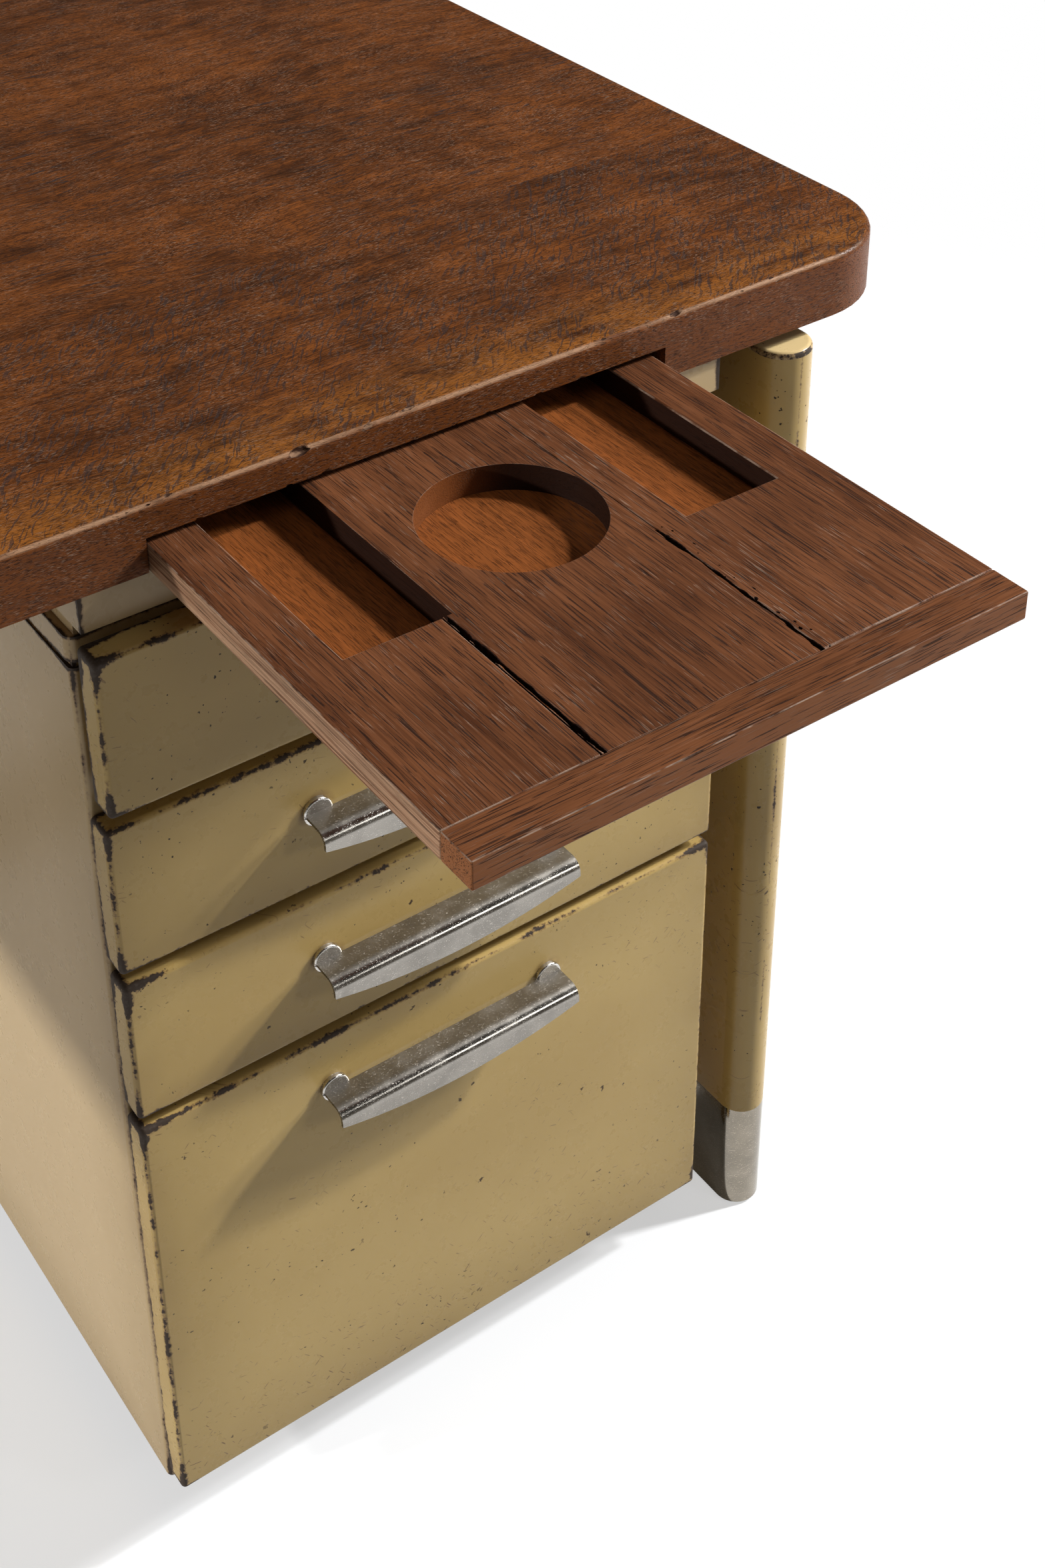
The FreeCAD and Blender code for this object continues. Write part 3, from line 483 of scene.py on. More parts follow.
def oak_top(name, settings, seed, front, rays, swirl):
    """Oiled oak with its grain along X: pores, painted glints, slanting rays, a rubbed front edge and a
    painted highlight along its crest.
    """
    paint = Paint(name)
    place = paint.own_place(seed, TOP_STEP)
    flow = paint.warped(place, scale=4.0, amount=swirl)
    flow = paint.warped(flow, scale=24.0, amount=0.005)
    facing_y, facing_z = paint.parts(paint.facing)[1:]
    upper = facing_z.rise(0.80, 0.97)
    face = (-facing_y).rise(0.55, 0.90)
    cloud = paint.noise(place, scale=8.0)
    mottle = paint.streaks(flow, along=26.0, across=95.0, detail=4.0, roughness=0.62)
    fibre = paint.streaks(flow, along=40.0, across=900.0, detail=2.0)
    pore = paint.streaks(flow, along=260.0, across=2300.0).rise(0.54, 0.62)
    # Painted glints: pale streaks along the pores, part painted highlight and part wax and dust in the
    # pores
    glint = paint.streaks(flow, along=280.0, across=2500.0, shift=DUST_AND_GLINT_SHIFT).rise(0.60, 0.68)
    glint = glint * paint.noise(place, scale=45.0).rise(0.34, 0.60)

    tone = (cloud * 0.7 + mottle * 0.9 + fibre - 0.80).rise(0.05, 0.95)
    stops = ((0.0, settings.umber), (0.45, settings.brown), (1.0, settings.honey))
    base = paint.add("ShaderNodeValToRGB", {"stops": stops}, {"Fac": tone})
    reach = paint.parts(paint.place)[1] - front
    rubbed = (1.0 - reach.rise(*RUBBED_REACH)) * mottle.rise(0.28, 0.60) * upper
    base = paint.blend(rubbed * 0.72, base, settings.gold)
    base = paint.blend(face * 0.65, base, settings.face)
    base = paint.blend(pore * 0.80, base, settings.umber)

    slant = paint.turned(paint.warped(place, scale=38.0, amount=0.010), turn=(0.0, 0.0, RAY_ANGLE))
    ray = paint.streaks(slant, along=58.0, across=560.0).rise(0.560, 0.620)
    ray = ray * paint.noise(place, scale=18.0, detail=2.0).rise(0.32, 0.50) * upper * rays
    base = paint.blend(ray * 0.66, base, settings.fleck)
    base = paint.blend(glint * 0.75, base, settings.dust_and_glint)
    dash = paint.streaks(flow, along=30.0, across=520.0, shift=DASH_SHIFT).rise(0.63, 0.70)
    dash = dash * paint.noise(place, scale=10.0).rise(0.40, 0.56) * (1.0 - rays * 0.8)
    base = paint.blend(dash * 0.85, base, settings.fleck)

    # Painted highlight along the crest: the rounded upper edge is painted pale in patches, part bare worn
    # wood and part painted highlight
    rim = facing_z.rise(0.30, 0.65) * (1.0 - facing_z.rise(0.80, 0.95))
    rub_and_highlight = rim * paint.noise(paint.turned(place, CREST_WAVES), detail=4.0).rise(0.36, 0.54)
    base = paint.blend(rub_and_highlight * 0.88, base, settings.crest_and_highlight)
    speck = face * paint.streaks(place, along=90.0, across=220.0, detail=2.0).rise(0.76, 0.80)
    base = paint.blend(speck * 0.50, base, settings.crest_and_highlight)

    height = fibre * 0.25 - pore * 0.6 - ray * 0.25 - dash * 0.9 + glint * 0.2
    gloss = 0.36 + fibre * 0.12 - ray * 0.06 - rim * 0.10 + pore * 0.14
    return paint.surface(base, gloss, paint.dent(height, TOP_RELIEF), Specular_IOR_Level=0.09)


def raw_oak(name, dark, pale, torn):
    """Broken oak inside nicks, pits and splits: dark, with a share of pale torn fibres."""
    paint = Paint(name)
    fibre = paint.streaks(paint.place, along=120.0, across=400.0, detail=3.0, roughness=0.6)
    base = paint.blend(fibre.rise(0.45, 0.65) * torn, dark, pale)
    return paint.surface(base, 0.75, paint.dent(fibre, TORN_RELIEF), Specular_IOR_Level=0.15)


def oak_slide(name, settings, seed, sides=None, torn=None):
    """Dry oak of the slide: a plank along Y between the slide's sides, or a strip along X without them."""
    paint = Paint(name)
    place = paint.own_place(seed, SLIDE_STEP, ALONG_Y if sides else NO_TURN)
    flow = paint.warped(place, scale=5.0, amount=0.005)
    across = paint.parts(paint.place)[0]
    cloud = paint.noise(place, scale=11.0)
    bands = paint.streaks(flow, along=2.5, across=85.0, detail=4.0, roughness=0.62)
    fibre = paint.streaks(flow, along=14.0, across=900.0, detail=2.0)
    pore = paint.streaks(flow, along=36.0, across=1500.0).rise(0.590, 0.625)
    patch = paint.noise(place, scale=32.0).rise(0.40, 0.62)
    if torn is not None:
        patch = patch.most((1.0 - (across - torn).rise(*TORN_REACH)) * 1.1)
    # Pale pore streaks in patches and in the torn band beside the right joint: partly dust and torn fibres,
    # partly painted glints
    dust_and_glint = paint.streaks(flow, along=60.0, across=1900.0, shift=DUST_AND_GLINT_SHIFT).rise(0.640, 0.675) * patch

    tone = (cloud * 0.8 + bands * 0.8 + fibre * 0.8 - 0.75).rise(0.02, 0.95)
    base = paint.blend(tone, settings.shade, settings.plank)
    facing_x, facing_y, facing_z = paint.parts(paint.facing)
    upright = 1.0 - abs(facing_z).rise(0.30, 0.60)
    if not sides:
        base = paint.blend(0.08 + upright * 0.50, base, settings.strip)
    base = paint.blend(pore * 0.80, base, settings.pore)
    base = paint.blend(dust_and_glint * 0.42, base, settings.dust_and_glint)
    if sides:
        left, right = sides
        inside = (across - left).rise(*WALL_REACH) * (right - across).rise(*WALL_REACH)
        # Painted shade in the recesses: the walls take the floor's oak darkened, and those facing -X are
        # painted near black with the pore colour
        base = paint.blend(upright * inside * 0.75, base, times(settings.floor, 0.55))
        shaded_wall = 1.0 - facing_x.rise(-0.60, 0.10)
        base = paint.blend(upright * inside * shaded_wall * 0.95, base, settings.pore)
        flank = paint.streaks(place, along=10.0, across=900.0, detail=4.0, roughness=0.65)
        base = paint.blend(flank.rise(0.30, 0.66) * upright * (1.0 - inside) * 0.9, base, settings.side)
    # Painted highlight: the softened arrises are painted pale in patches, with some worn pale wood
    rim = abs(facing_x).most(abs(facing_y)).least(abs(facing_z)).rise(0.25, 0.60)
    rim = rim * paint.noise(place, scale=70.0, detail=4.0).rise(0.38, 0.56)
    base = paint.blend(rim * 0.75, base, settings.dust_and_glint)
    height = fibre * 0.3 - pore * 0.8 - dust_and_glint * 0.2 + bands * 0.4
    gloss = 0.40 + fibre * 0.14 + pore * 0.18
    return paint.surface(base, gloss, paint.dent(height, SLIDE_RELIEF), Specular_IOR_Level=0.10)


def recess_oak(name, settings):
    """Warm oak of the recess floor, with dark pores along Y."""
    paint = Paint(name)
    place = paint.turned(paint.place, turn=ALONG_Y)
    flow = paint.warped(place, scale=6.0, amount=0.008)
    bands = paint.streaks(flow, along=3.0, across=70.0, detail=4.0, roughness=0.6)
    fibre = paint.streaks(flow, along=22.0, across=900.0, detail=2.0)
    streak = paint.streaks(flow, along=6.0, across=300.0, detail=3.0)
    pore = paint.streaks(flow, along=90.0, across=2200.0).rise(0.55, 0.63)
    tone = (bands * 0.7 + streak * 1.2 + fibre * 0.9 - 0.90).rise(0.0, 1.0)
    base = paint.blend(tone, times(settings.floor, 0.55), settings.floor)
    base = paint.blend(pore * 0.50, base, settings.pore)
    normal = paint.dent(fibre * 0.3 - pore, RECESS_RELIEF)
    return paint.surface(base, 0.46 + fibre * 0.1, normal, Specular_IOR_Level=0.12)


def lacquer_strokes(paint, place, foot):
    """Short scratches at a few angles, in patches and along the foot of a front."""
    x, y, z = paint.parts(place)
    flat = paint.add("ShaderNodeCombineXYZ", None, {"X": x + y, "Y": z})
    stroke = 0.0
    for angle in STROKE_ANGLES:
        line = paint.noise(paint.turned(flat, STROKE_WAVES, (0.0, 0.0, angle)), detail=1.0)
        stroke = line.rise(0.712, 0.742).most(stroke)
    patch = paint.noise(place, scale=10.0).rise(0.48, 0.62) * 0.7
    if foot is not None:
        patch = patch.most(1.0 - (paint.parts(paint.place)[2] - foot).rise(*FOOT_REACH))
    return stroke * patch


def stud_halo(paint, studs):
    """One at each stud of a pull, and zero a little way around it."""
    x, _, z = paint.parts(paint.place)
    halo = 0.0
    for stud in studs:
        halo = (1.0 - distance(x, z, stud).rise(*HALO_REACH)).most(halo)
    return halo


def lacquer(name, settings, edge, seed, chips=1.0, marks=1.0, pale=0.0, painted_lid_light=0.0, foot=None, studs=()):
    """Cream lacquer on steel: chips along the edges, small knocks, scratches and handling marks."""
    paint = Paint(name)
    place = paint.own_place(seed, LACQUER_STEP)
    edge, prone = edge(paint)
    cloud = paint.noise(place, scale=6.0)
    stretch = paint.noise(place, scale=16.0, detail=2.0)
    broad = paint.noise(place, scale=58.0, detail=4.0, roughness=0.6)
    fine = paint.noise(place, scale=320.0, detail=4.0, roughness=0.65)
    base = paint.blend(cloud.rise(0.35, 0.70) * 0.6, settings.cream, settings.ochre)
    base = paint.blend(pale, base, settings.pale)
    # Painted light: a share of the brighter cream on the lids, for light falling on them
    base = paint.blend(painted_lid_light, base, settings.painted_lid_light)
    grime = (1.0 - edge.rise(*GRIME_REACH)) * cloud.rise(0.40, 0.62)
    base = paint.blend(grime * 0.22, base, settings.rust)
    # Darker towards every edge, fading out over 75 mm
    base = paint.blend((1.0 - edge.rise(*SHADE_REACH)) * 0.28, base, times(settings.ochre, 0.55))

    ragged = (stretch - 0.50) * RAGGED + (broad - 0.50) * RAGGED + (fine - 0.50) * RAGGED
    reach = ragged + CHIP_START + prone
    depth = reach * (settings.chip * chips) - edge + ROUNDING
    chip = depth.rise(*CHIP_RIM)
    rust = depth.rise(*RUST_RIM)
    grey = depth.rise(*GREY_RIM) * fine.rise(0.46, 0.58)
    if studs:
        rust = rust.most(stud_halo(paint, studs) * broad.rise(0.36, 0.60) * 0.8)
    knock = paint.noise(place, scale=120.0, roughness=0.6).rise(0.712, 0.732) * cloud.rise(0.40, 0.52)
    near = (1.0 - edge.rise(*NEAR_REACH)) * stretch.rise(0.44, 0.58)
    dot = paint.noise(place, scale=360.0, detail=1.0).rise(0.735, 0.755)
    dot = dot * paint.noise(place, scale=14.0).rise(0.49, 0.59).most(near)
    stroke = lacquer_strokes(paint, place, foot) * marks

    base = paint.blend(stroke * 0.80, base, settings.rust)
    base = paint.blend(rust.most(knock * marks) * 0.70, base, settings.rust)
    bare = chip.most(knock * (0.8 * marks)).most(dot * marks)
    base = paint.blend(bare * 0.95, base, settings.bare)
    base = paint.blend(grey * 0.55, base, settings.grey)
    normal = paint.dent(cloud * 0.3 - bare * 0.6, LACQUER_RELIEF)
    gloss = 0.24 + broad * 0.08 + bare * 0.40 + stroke * 0.1
    return paint.surface(base, gloss, normal, Specular_IOR_Level=0.24)


def box_edge(name, left=0.0):
    """The edge distance of a CAD node's own box, with its corners and its left edge more prone to chips."""
    low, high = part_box(name)

    def edge(paint):
        edge, corner = paint.insets(low, high)
        across = paint.parts(paint.place)[0] - low[0]
        prone = (1.0 - corner.rise(*CORNER_REACH)) * CORNER_BONUS + (1.0 - across.rise(*LEFT_REACH)) * left
        return edge, prone
    return edge


def nose_edge(way):
    """The distance around a leg to the line that faces the front or the back."""
    def edge(paint):
        towards = paint.parts(paint.facing)[1] * way
        return ((1.0 - towards) * 2.0).most(0.0).root() * NOSE_RADIUS + ROUNDING, NOSE_PRONE
    return edge


def lid_edge(paint):
    """Zero on the rounded edge of a lid and large on its flat top."""
    return paint.parts(paint.facing)[2].rise(0.70, 0.995) * LID_WIDTH, LID_PRONE


def polished(name, tint, rough, waves):
    """Polished metal with fine scratches, duller where it faces up."""
    paint = Paint(name)
    fine = paint.noise(paint.turned(paint.place, waves), detail=2.0)
    cloud = paint.noise(paint.place, scale=60.0)
    scratch = 0.0
    for turn in SCRATCH_TURNS:
        line = paint.streaks(paint.place, along=70.0, across=1700.0, turn=turn)
        scratch = line.rise(0.67, 0.75).most(scratch)
    bright = tuple(min(part, 1.0) for part in times(tint, 2.0))
    base = paint.blend(cloud.rise(0.3, 0.7), times(tint, 0.80), tint)
    base = paint.blend(scratch * 0.7, base, bright)
    worn = paint.parts(paint.facing)[2].rise(0.80, 0.97)
    gloss = rough + worn * 0.26 + fine * 0.08 + scratch * 0.25 + cloud.rise(0.45, 0.75) * 0.10
    return paint.surface(base, gloss, paint.dent(scratch * -0.3, SCRATCH_RELIEF), Metallic=1.0)


def plain_steel(name, tint):
    """Dull rolled steel of hidden fittings."""
    paint = Paint(name)
    cloud = paint.noise(paint.place, scale=40.0, detail=4.0)
    base = paint.blend(cloud.rise(0.35, 0.65), times(tint, 0.6), tint)
    return paint.surface(base, 0.38 + cloud * 0.2, paint.dent(cloud, STEEL_RELIEF), Metallic=1.0)


def recipe(name, inputs):
    """A new geometry recipe: its node group, a helper and the wires of its named inputs."""
    group = bpy.data.node_groups.new(name, "GeometryNodeTree")
    group.interface.new_socket("Geometry", in_out="OUTPUT", socket_type="NodeSocketGeometry")
    for label, kind in inputs.items():
        group.interface.new_socket(label, in_out="INPUT", socket_type="NodeSocket" + kind)
    paint = Paint.of_tree(group)
    source = paint.nodes.new("NodeGroupInput")
    return group, paint, [Wire(paint, source.outputs[label]) for label in inputs]


def serve(paint, shape, material):
    """Ends a recipe: one plain mesh with its material."""
    whole = paint.add("GeometryNodeRealizeInstances", None, {"Geometry": shape})
    coated = paint.add("GeometryNodeSetMaterial", None, {"Geometry": whole, "Material": material})
    output = paint.nodes.new("NodeGroupOutput")
    paint.links.new(coated.socket, output.inputs[0])


def split_recipe():
    """A thin ragged blade along a line, wide and narrow by turns."""
    group, paint, wires = recipe("split", {
        "Start": "Vector", "End": "Vector", "Width": "Float", "Depth": "Float", "Wander": "Float",
        "Steps": "Int", "Seed": "Float", "Material": "Material"})
    start, end, width, depth, wander, steps, seed, material = wires
    line = paint.add("GeometryNodeCurvePrimitiveLine", None, {"Start": start, "End": end})
    line = paint.add("GeometryNodeResampleCurve", {"mode": "COUNT"}, {"Curve": line, "Count": steps})
    place = paint.add("GeometryNodeInputPosition")
    sway = paint.add("ShaderNodeTexNoise", {"noise_dimensions": "4D"},
                     {"Vector": place, "W": seed, "Scale": 110.0, "Detail": 3.0})
    offset = paint.add("ShaderNodeCombineXYZ", None, {"X": (sway - 0.5) * wander})
    line = paint.add("GeometryNodeSetPosition", None, {"Geometry": line, "Offset": offset})
    gape = paint.add("ShaderNodeTexNoise", {"noise_dimensions": "4D"},
                     {"Vector": place, "W": seed + GAPE_SEED, "Scale": 60.0, "Detail": 2.0})
    gape = (gape * 3.2 - 0.75).most(NARROWEST).least(WIDEST)
    profile = paint.add("GeometryNodeCurvePrimitiveQuadrilateral", {"mode": "RECTANGLE"},
                        {"Width": width, "Height": depth})
    blade = paint.add("GeometryNodeCurveToMesh", None,
                      {"Curve": line, "Profile Curve": profile, "Scale": gape, "Fill Caps": True})
    serve(paint, blade, material)
    return group


def nick_recipe():
    """Rough lumps of many sizes scattered along a line."""
    group, paint, wires = recipe("nicks", {
        "Start": "Vector", "End": "Vector", "Count": "Int", "Size": "Float", "Spread": "Vector",
        "Stretch": "Vector", "Seed": "Int", "Material": "Material"})
    start, end, count, size, spread, stretch, seed, material = wires
    line = paint.add("GeometryNodeMeshLine", {"mode": "END_POINTS"},
                     {"Count": count, "Start Location": start, "Offset": end})
    jitter = paint.add("FunctionNodeRandomValue", {"data_type": "FLOAT_VECTOR"},
                       {0: (-1.0, -1.0, -1.0), 1: (1.0, 1.0, 1.0), "Seed": seed})
    jitter = paint.add("ShaderNodeVectorMath", {"operation": "MULTIPLY"}, {0: jitter, 1: spread})
    points = paint.add("GeometryNodeSetPosition", None, {"Geometry": line, "Offset": jitter})
    ball = paint.add("GeometryNodeMeshIcoSphere", None, {"Radius": 1.0, "Subdivisions": 3})
    rough = paint.drift(paint.add("GeometryNodeInputPosition"), scale=1.6)
    lump = paint.add("GeometryNodeSetPosition", None, {"Geometry": ball, "Offset": rough})
    turn = paint.add("FunctionNodeRandomValue", {"data_type": "FLOAT_VECTOR"},
                     {0: times(LUMP_TURN, -1.0), 1: LUMP_TURN, "Seed": seed + 1.0})
    grade = paint.add("FunctionNodeRandomValue", {"data_type": "FLOAT"},
                      {2: 0.0, 3: 1.0, "Seed": seed + 2.0}, 1)
    grade = (grade * grade * grade * (1.0 - SMALLEST_LUMP) + SMALLEST_LUMP) * size
    scale = paint.add("ShaderNodeVectorMath", {"operation": "SCALE"}, {0: stretch, "Scale": grade})
    lumps = paint.add("GeometryNodeInstanceOnPoints", None,
                      {"Points": points, "Instance": lump, "Rotation": turn, "Scale": scale})
    serve(paint, lumps, material)
    return group


def settle(item):
    """Turns an object's modifiers into its plain mesh."""
    evaluated = item.evaluated_get(bpy.context.evaluated_depsgraph_get())
    mesh = bpy.data.meshes.new_from_object(evaluated)
    item.modifiers.clear()
    item.data = mesh


def grown(name, group, **values):
    """Runs a geometry recipe with a value for each of its named inputs."""
    item = bpy.data.objects.new(name, bpy.data.meshes.new(name))
    bpy.context.scene.collection.objects.link(item)
    modifier = item.modifiers.new("recipe", "NODES")
    modifier.node_group = group
    for socket in group.interface.items_tree:
        if socket.in_out == "INPUT":
            modifier[socket.identifier] = values[socket.name]
    settle(item)
    if not item.data.polygons:
        raise RuntimeError(name + " came out empty")
    return item


def worn_copy(name, body, material, arris, cutters):
    """Puts a copy of a CAD node in its place, with softened edges and the hollows of the cutters."""
    node = NODES[name]
    mesh = node.data.copy()
    mesh.transform(node.matrix_world)
    plan = bmesh.new()
    plan.from_mesh(mesh)
    bmesh.ops.remove_doubles(plan, verts=plan.verts, dist=WELD)
    bmesh.ops.dissolve_limit(plan, angle_limit=FLAT_ANGLE, verts=plan.verts, edges=plan.edges)
    plan.to_mesh(mesh)
    plan.free()
    mesh.materials.clear()
    mesh.materials.append(material)
    item = bpy.data.objects.new(name + "_worn", mesh)
    bpy.context.scene.collection.objects.link(item)
    if arris:
        bevel = item.modifiers.new("arris", "BEVEL")
        bevel.width = arris
        bevel.segments = 2
        bevel.limit_method = "ANGLE"
        bevel.angle_limit = ARRIS_ANGLE
    for cutter in cutters:
        cut = item.modifiers.new("cut", "BOOLEAN")
        cut.object = cutter
        cut.operation = "DIFFERENCE"
        cut.solver = "EXACT"
        cut.use_self = True
        cut.material_mode = "TRANSFER"
    settle(item)
    item.data.shade_smooth()
    item.data.set_sharp_from_angle(angle=SHARP_ANGLE)
    even = item.modifiers.new("even", "WEIGHTED_NORMAL")
    even.weight = 100
    even.keep_sharp = True
    settle(item)
    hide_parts(name)
    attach(item, body)


def discard(items):
    """Removes cutters after use."""
    for item in items:
        bpy.data.objects.remove(item)


class DESK_OT_oak_top(bpy.types.Operator):
    """Finishes the boards of the oak top and nicks the front one along its edges"""

    bl_idname = "desk.oak_top"
    bl_label = "Oak Top"

    def execute(self, context):
        settings = context.scene.desk_oak_top
        low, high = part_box("top_board_front")
        slide_low, slide_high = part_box("slide_front_strip")
        mouth = slide_high[2] + MOUTH_ROOM
        torn = raw_oak("torn_oak", settings.umber, settings.crest_and_highlight, torn=0.55)
        group = nick_recipe()
        upper = grown("edge_nicks", group, Material=torn, Seed=settings.seed,
                      Start=(low[0], low[1], high[2]), End=(high[0], low[1], high[2]),
                      Count=settings.nicks, Size=settings.nick,
                      Spread=times(EDGE_SPREAD, settings.nick), Stretch=EDGE_STRETCH)
        lower = grown("mouth_nicks", group, Material=torn, Seed=settings.seed + 1,
                      Start=(slide_low[0], low[1], mouth), End=(slide_high[0], low[1], mouth),
                      Count=settings.nicks // MOUTH_RATIO, Size=settings.nick * MOUTH_SIZE,
                      Spread=times(MOUTH_SPREAD, settings.nick), Stretch=MOUTH_STRETCH)
        for seed, board in enumerate(BOARDS, start=1):
            figure = QUARTERED if board == "front" else PLAIN_SAWN
            oak = oak_top("oak_" + board, settings, seed, low[1], **figure)
            if board == "front":
                worn_copy("top_board_front", "frame", oak, 0.0, (upper, lower))
            else:
                dress("top_board_" + board, oak)
        discard((upper, lower))
        return {"FINISHED"}


class DESK_OT_writing_slide(bpy.types.Operator):
    """Finishes the writing slide: softened planks, an open split, pits and the recess floor"""

    bl_idname = "desk.writing_slide"
    bl_label = "Writing Slide"

    def execute(self, context):
        settings = context.scene.desk_oak_slide
        low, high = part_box("slide_plank_left")[0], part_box("slide_plank_right")[1]
        middle_low, middle_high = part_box("slide_plank_middle")
        split, seam, pits = self.cutters(settings, low, high, middle_low[0], middle_high[0])
        hollows = {"left": (split,), "middle": (split, seam), "right": (seam, pits)}
        for seed, plank in enumerate(PLANKS, start=1):
            torn = middle_high[0] if plank == "right" else None
            oak = oak_slide("slide_oak_" + plank, settings, seed, (low[0], high[0]), torn)
            worn_copy("slide_plank_" + plank, "writing_slide", oak, settings.arris,
                      hollows[plank])
        strip = oak_slide("slide_oak_strip", settings, STRIP_SEED)
        for end in ("front", "rear"):
            worn_copy("slide_%s_strip" % end, "writing_slide", strip, settings.arris, ())
        dress("slide_floor", recess_oak("recess_oak", settings))
        discard((split, seam, pits))
        return {"FINISHED"}

    @staticmethod
    def cutters(settings, low, high, left_joint, right_joint):
        """The split in the left joint, the seam in the right one and the pits beside it."""
        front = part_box("slide_front_strip")[1][1]
        dark = raw_oak("split_oak", settings.pore, settings.shade, torn=0.6)
        blade = split_recipe()
        height = (high[2] - low[2]) * BLADE_HEIGHT

        def line(across, span):
            start, end = ((across, front + reach, high[2]) for reach in span)
            return {"Start": start, "End": end, "Material": dark}

        split = grown("split", blade, **line(left_joint + settings.crack / 2, SPLIT_SPAN),
                      Width=settings.crack, Depth=height, Wander=settings.crack * SEAM_SHARE,
                      Steps=BLADE_STEPS, Seed=float(settings.seed))
        seam = grown("seam", blade, **line(right_joint, SEAM_SPAN),
                     Width=settings.crack * SEAM_SHARE, Depth=height, Wander=settings.crack,
                     Steps=BLADE_STEPS, Seed=settings.seed + SEAM_SEED)
        pits = grown("pits", nick_recipe(), **line(right_joint + PIT_OFFSET, PIT_SPAN),
                     Count=settings.pits, Size=settings.pit, Spread=PIT_SPREAD, Stretch=PIT_STRETCH,
                     Seed=settings.seed)
        return split, seam, pits


class DESK_OT_pedestal(bpy.types.Operator):
    """Lacquers the carcass of the pedestal"""

    bl_idname = "desk.pedestal"
    bl_label = "Pedestal"

    def execute(self, context):
        settings = context.scene.desk_lacquer
        pieces = ("side_left", "side_right", "back", "bottom", "collar", "lid", "spacer")
        for seed, piece in enumerate(pieces, start=1):
            name = "pedestal_" + piece
            dress(name, lacquer("lacquer_" + piece, settings, box_edge(name), seed,
                                chips=0.5, marks=0.0, pale=0.85))
        return {"FINISHED"}


class DESK_OT_drawers(bpy.types.Operator):
    """Lacquers the drawer fronts and trays"""

    bl_idname = "desk.drawers"
    bl_label = "Drawers"

    def execute(self, context):
        settings = context.scene.desk_lacquer
        for drawer in DRAWERS:
            low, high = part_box("drawer_studs_%d" % drawer)
            level, radius = (low[2] + high[2]) / 2, (high[2] - low[2]) / 2
            studs = ((low[0] + radius, level), (high[0] - radius, level))
            name = "drawer_front_%d" % drawer
            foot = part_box(name)[0][2] if drawer == DRAWERS[-1] else None
            dress(name, lacquer("lacquer_front_%d" % drawer, settings, box_edge(name, LEFT_BONUS),
                                FRONT_SEED + drawer, foot=foot, studs=studs))
            name = "drawer_tray_%d" % drawer
            dress(name, lacquer("lacquer_tray_%d" % drawer, settings, box_edge(name),
                                TRAY_SEED + drawer, chips=0.3))
        return {"FINISHED"}


class DESK_OT_pulls(bpy.types.Operator):
    """Polishes the pulls and their studs"""

    bl_idname = "desk.pulls"
    bl_label = "Pulls"

    def execute(self, context):
        settings = context.scene.desk_metal
        metal = polished("pull_metal", settings.polished, rough=0.13, waves=PULL_WAVES)
        stud = polished("stud_metal", settings.stud, rough=0.10, waves=STUD_WAVES)
        for drawer in DRAWERS:
            dress("drawer_handle_%d" % drawer, metal)
            dress("drawer_studs_%d" % drawer, stud)
        return {"FINISHED"}


class DESK_OT_legs(bpy.types.Operator):
    """Finishes the legs, their lids and shoes, the beams and the rail"""

    bl_idname = "desk.legs"
    bl_label = "Legs"

    def execute(self, context):
        settings = context.scene.desk_lacquer
        shoe = polished("shoe_metal", context.scene.desk_metal.shoe, rough=0.07, waves=SHOE_WAVES)
        for seed, corner in enumerate(CORNERS, start=1):
            way = -1.0 if corner.startswith("front") else 1.0
            dress("leg_" + corner, lacquer("lacquer_leg_" + corner, settings, nose_edge(way),
                                           LEG_SEED + seed, chips=0.7, marks=1.3))
            # The lids take the brighter cream as painted light
            dress("leg_lid_" + corner, lacquer("lacquer_lid_" + corner, settings, lid_edge,
                                               LID_SEED + seed, chips=0.8, painted_lid_light=0.8))
            dress("sabot_" + corner, shoe)
        for seed, name in enumerate(("beam_right", "beam_left", "rear_rail"), start=1):
            dress(name, lacquer("lacquer_" + name, settings, box_edge(name), BEAM_SEED + seed, chips=0.5))
        return {"FINISHED"}


class DESK_OT_fittings(bpy.types.Operator):
    """Finishes the runners, ledges and screws"""

    bl_idname = "desk.fittings"
    bl_label = "Fittings"

    def execute(self, context):
        steel = plain_steel("fitting_steel", context.scene.desk_metal.steel)
        for name in ("drawer_runners", "slide_ledges", "top_screws"):
            dress(name, steel)
        return {"FINISHED"}


def lamp(name, watts, size, place, target):
    """A soft light of a given width and height that looks at a point."""
    light = bpy.data.lights.new(name, "AREA")
    light.energy = watts
    light.shape = "RECTANGLE"
    light.size, light.size_y = size
    item = bpy.data.objects.new(name, light)
    item.location = place
    item.rotation_euler = (Vector(target) - Vector(place)).to_track_quat("-Z", "Y").to_euler()
    bpy.context.scene.collection.objects.link(item)


def studio_camera(lens):
    """The camera at the photograph's point of view."""
    azimuth, elevation, roll = (math.radians(angle) for angle in CAMERA_ANGLES)
    back = Vector((math.sin(azimuth) * math.cos(elevation), -math.cos(azimuth) * math.cos(elevation),
                   math.sin(elevation)))
    level = (-back).cross(Vector((0.0, 0.0, 1.0))).normalized()
    over = level.cross(-back)
    right = level * math.cos(roll) + over * math.sin(roll)
    up = over * math.cos(roll) - level * math.sin(roll)
    width, height = PICTURE
    camera = bpy.data.cameras.new("camera")
    camera.lens = lens
    camera.sensor_width = SENSOR
    camera.shift_x = (width / 2 - AXIS[0]) / height
    camera.shift_y = (AXIS[1] - height / 2) / height
    item = bpy.data.objects.new("camera", camera)
    turn = Matrix((right, up, back)).transposed().to_4x4()
    item.matrix_world = Matrix.Translation(CAMERA_PLACE) @ turn
    bpy.context.scene.collection.objects.link(item)
    bpy.context.scene.camera = item


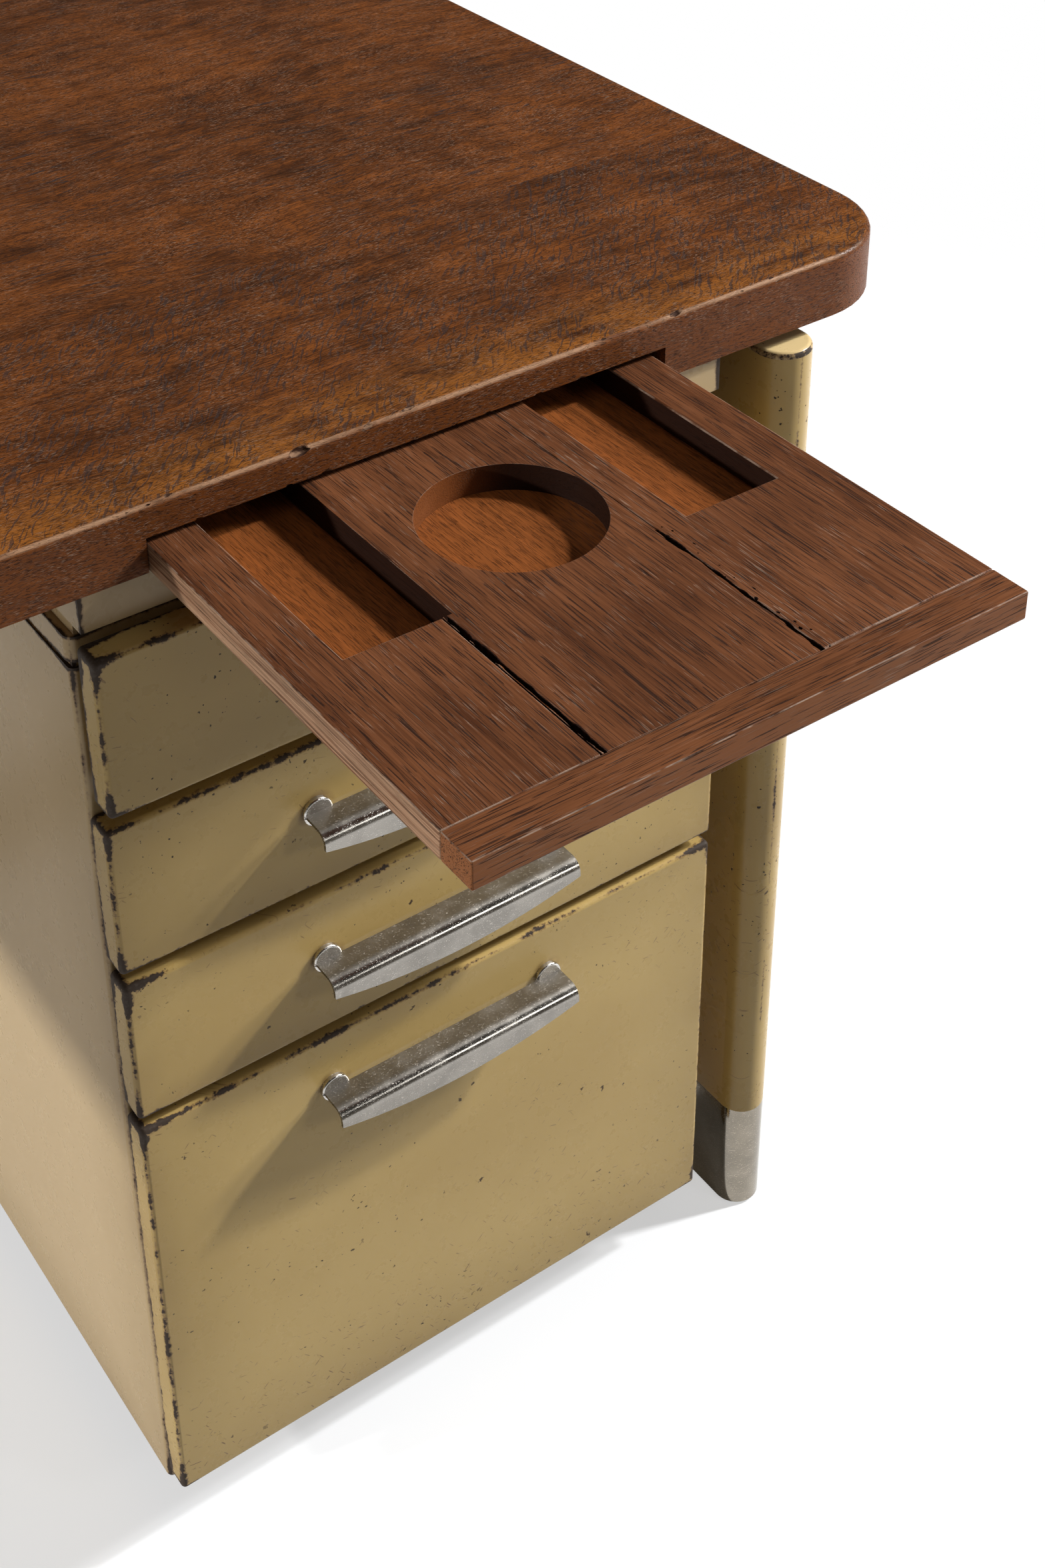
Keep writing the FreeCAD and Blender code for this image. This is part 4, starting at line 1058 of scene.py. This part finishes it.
def studio_floor(settings):
    """A wide pale floor that shows white to the camera but keeps the desk's shadow."""
    mesh = bpy.data.meshes.new("studio_floor")
    plan = bmesh.new()
    bmesh.ops.create_grid(plan, x_segments=4, y_segments=4, size=FLOOR_REACH)
    plan.to_mesh(mesh)
    plan.free()
    floor = bpy.data.objects.new("studio_floor", mesh)
    bpy.context.scene.collection.objects.link(floor)
    paint = Paint("studio_floor")
    tint = paint.blend(paint.noise(paint.place, scale=3.0), times(settings.floor, 0.99), settings.floor)
    tint = paint.blend(paint.ray("Diffuse"), tint, times(settings.floor, settings.bounce))
    x, y, _ = paint.parts(paint.place)
    far = distance(x, y, DESK_MIDDLE).rise(*SHADOW_REACH)
    share_lit = paint.ray("Camera") * (FLOOR_GLOW + far * (1.0 - FLOOR_GLOW))
    matt = paint.add("ShaderNodeBsdfDiffuse", None, {"Color": tint})
    glow = paint.add("ShaderNodeEmission", None, {"Color": (*WHITE, 1.0), "Strength": 1.0})
    paint.add_output(paint.add("ShaderNodeMixShader", None, {0: share_lit, 1: matt, 2: glow}))
    mesh.materials.append(paint.material)


def studio_world(settings):
    """White to the camera, warm and even as light, and dim overhead in reflections."""
    world = bpy.data.worlds.new("studio")
    bpy.context.scene.world = world
    world.use_nodes = True
    paint = Paint.of_tree(world.node_tree)
    direction = paint.add("ShaderNodeTexCoord", out="Generated")
    height = paint.parts(direction)[2]
    mirrored = (1.0 - abs(height).rise(0.02, 0.35)) * HORIZON_GLOW + ZENITH_GLOW
    glow = settings.ambient + paint.ray("Glossy") * (mirrored - settings.ambient)
    shown = paint.ray("Camera").most(paint.ray("Transmission"))
    strength = shown + (1.0 - shown) * glow
    tint = paint.blend(shown, settings.warmth, WHITE)
    background = paint.add("ShaderNodeBackground", None, {"Color": tint, "Strength": strength})
    output = paint.nodes.new("ShaderNodeOutputWorld")
    paint.links.new(background.socket, output.inputs["Surface"])


class DESK_OT_stage(bpy.types.Operator):
    """Sets up the floor, the lights and the camera"""

    bl_idname = "desk.stage"
    bl_label = "Stage"

    def execute(self, context):
        settings = context.scene.desk_stage
        context.scene.view_settings.view_transform = "Standard"
        studio_floor(settings)
        studio_world(settings)
        for name, size, place, target in LAMPS:
            lamp(name + "_light", getattr(settings, name), size, place, target)
        studio_camera(settings.lens)
        return {"FINISHED"}


STEPS = (DESK_OT_oak_top, DESK_OT_writing_slide, DESK_OT_pedestal, DESK_OT_drawers, DESK_OT_pulls,
         DESK_OT_legs, DESK_OT_fittings, DESK_OT_stage)


class DESK_PT_sidebar(bpy.types.Panel):
    """Lists the steps that dress the desk"""

    bl_label = "Oak and Steel Desk"
    bl_idname = "DESK_PT_sidebar"
    bl_space_type = "VIEW_3D"
    bl_region_type = "UI"
    bl_category = "Desk"

    def draw(self, context):
        for step in STEPS:
            self.layout.operator(step.bl_idname)


SETTINGS = {"desk_oak_top": OakTopSettings, "desk_oak_slide": OakSlideSettings,
            "desk_lacquer": LacquerSettings, "desk_metal": MetalSettings, "desk_stage": StageSettings}
CLASSES = (*SETTINGS.values(), *STEPS, DESK_PT_sidebar)


def register():
    for item in CLASSES:
        bpy.utils.register_class(item)
    for name, group in SETTINGS.items():
        setattr(bpy.types.Scene, name, PointerProperty(type=group))


def unregister():
    for name in SETTINGS:
        delattr(bpy.types.Scene, name)
    for item in reversed(CLASSES):
        bpy.utils.unregister_class(item)


def main():
    register()
    for step in STEPS:
        group, name = step.bl_idname.split(".")
        getattr(getattr(bpy.ops, group), name)()


if __name__ == "__main__":
    main()
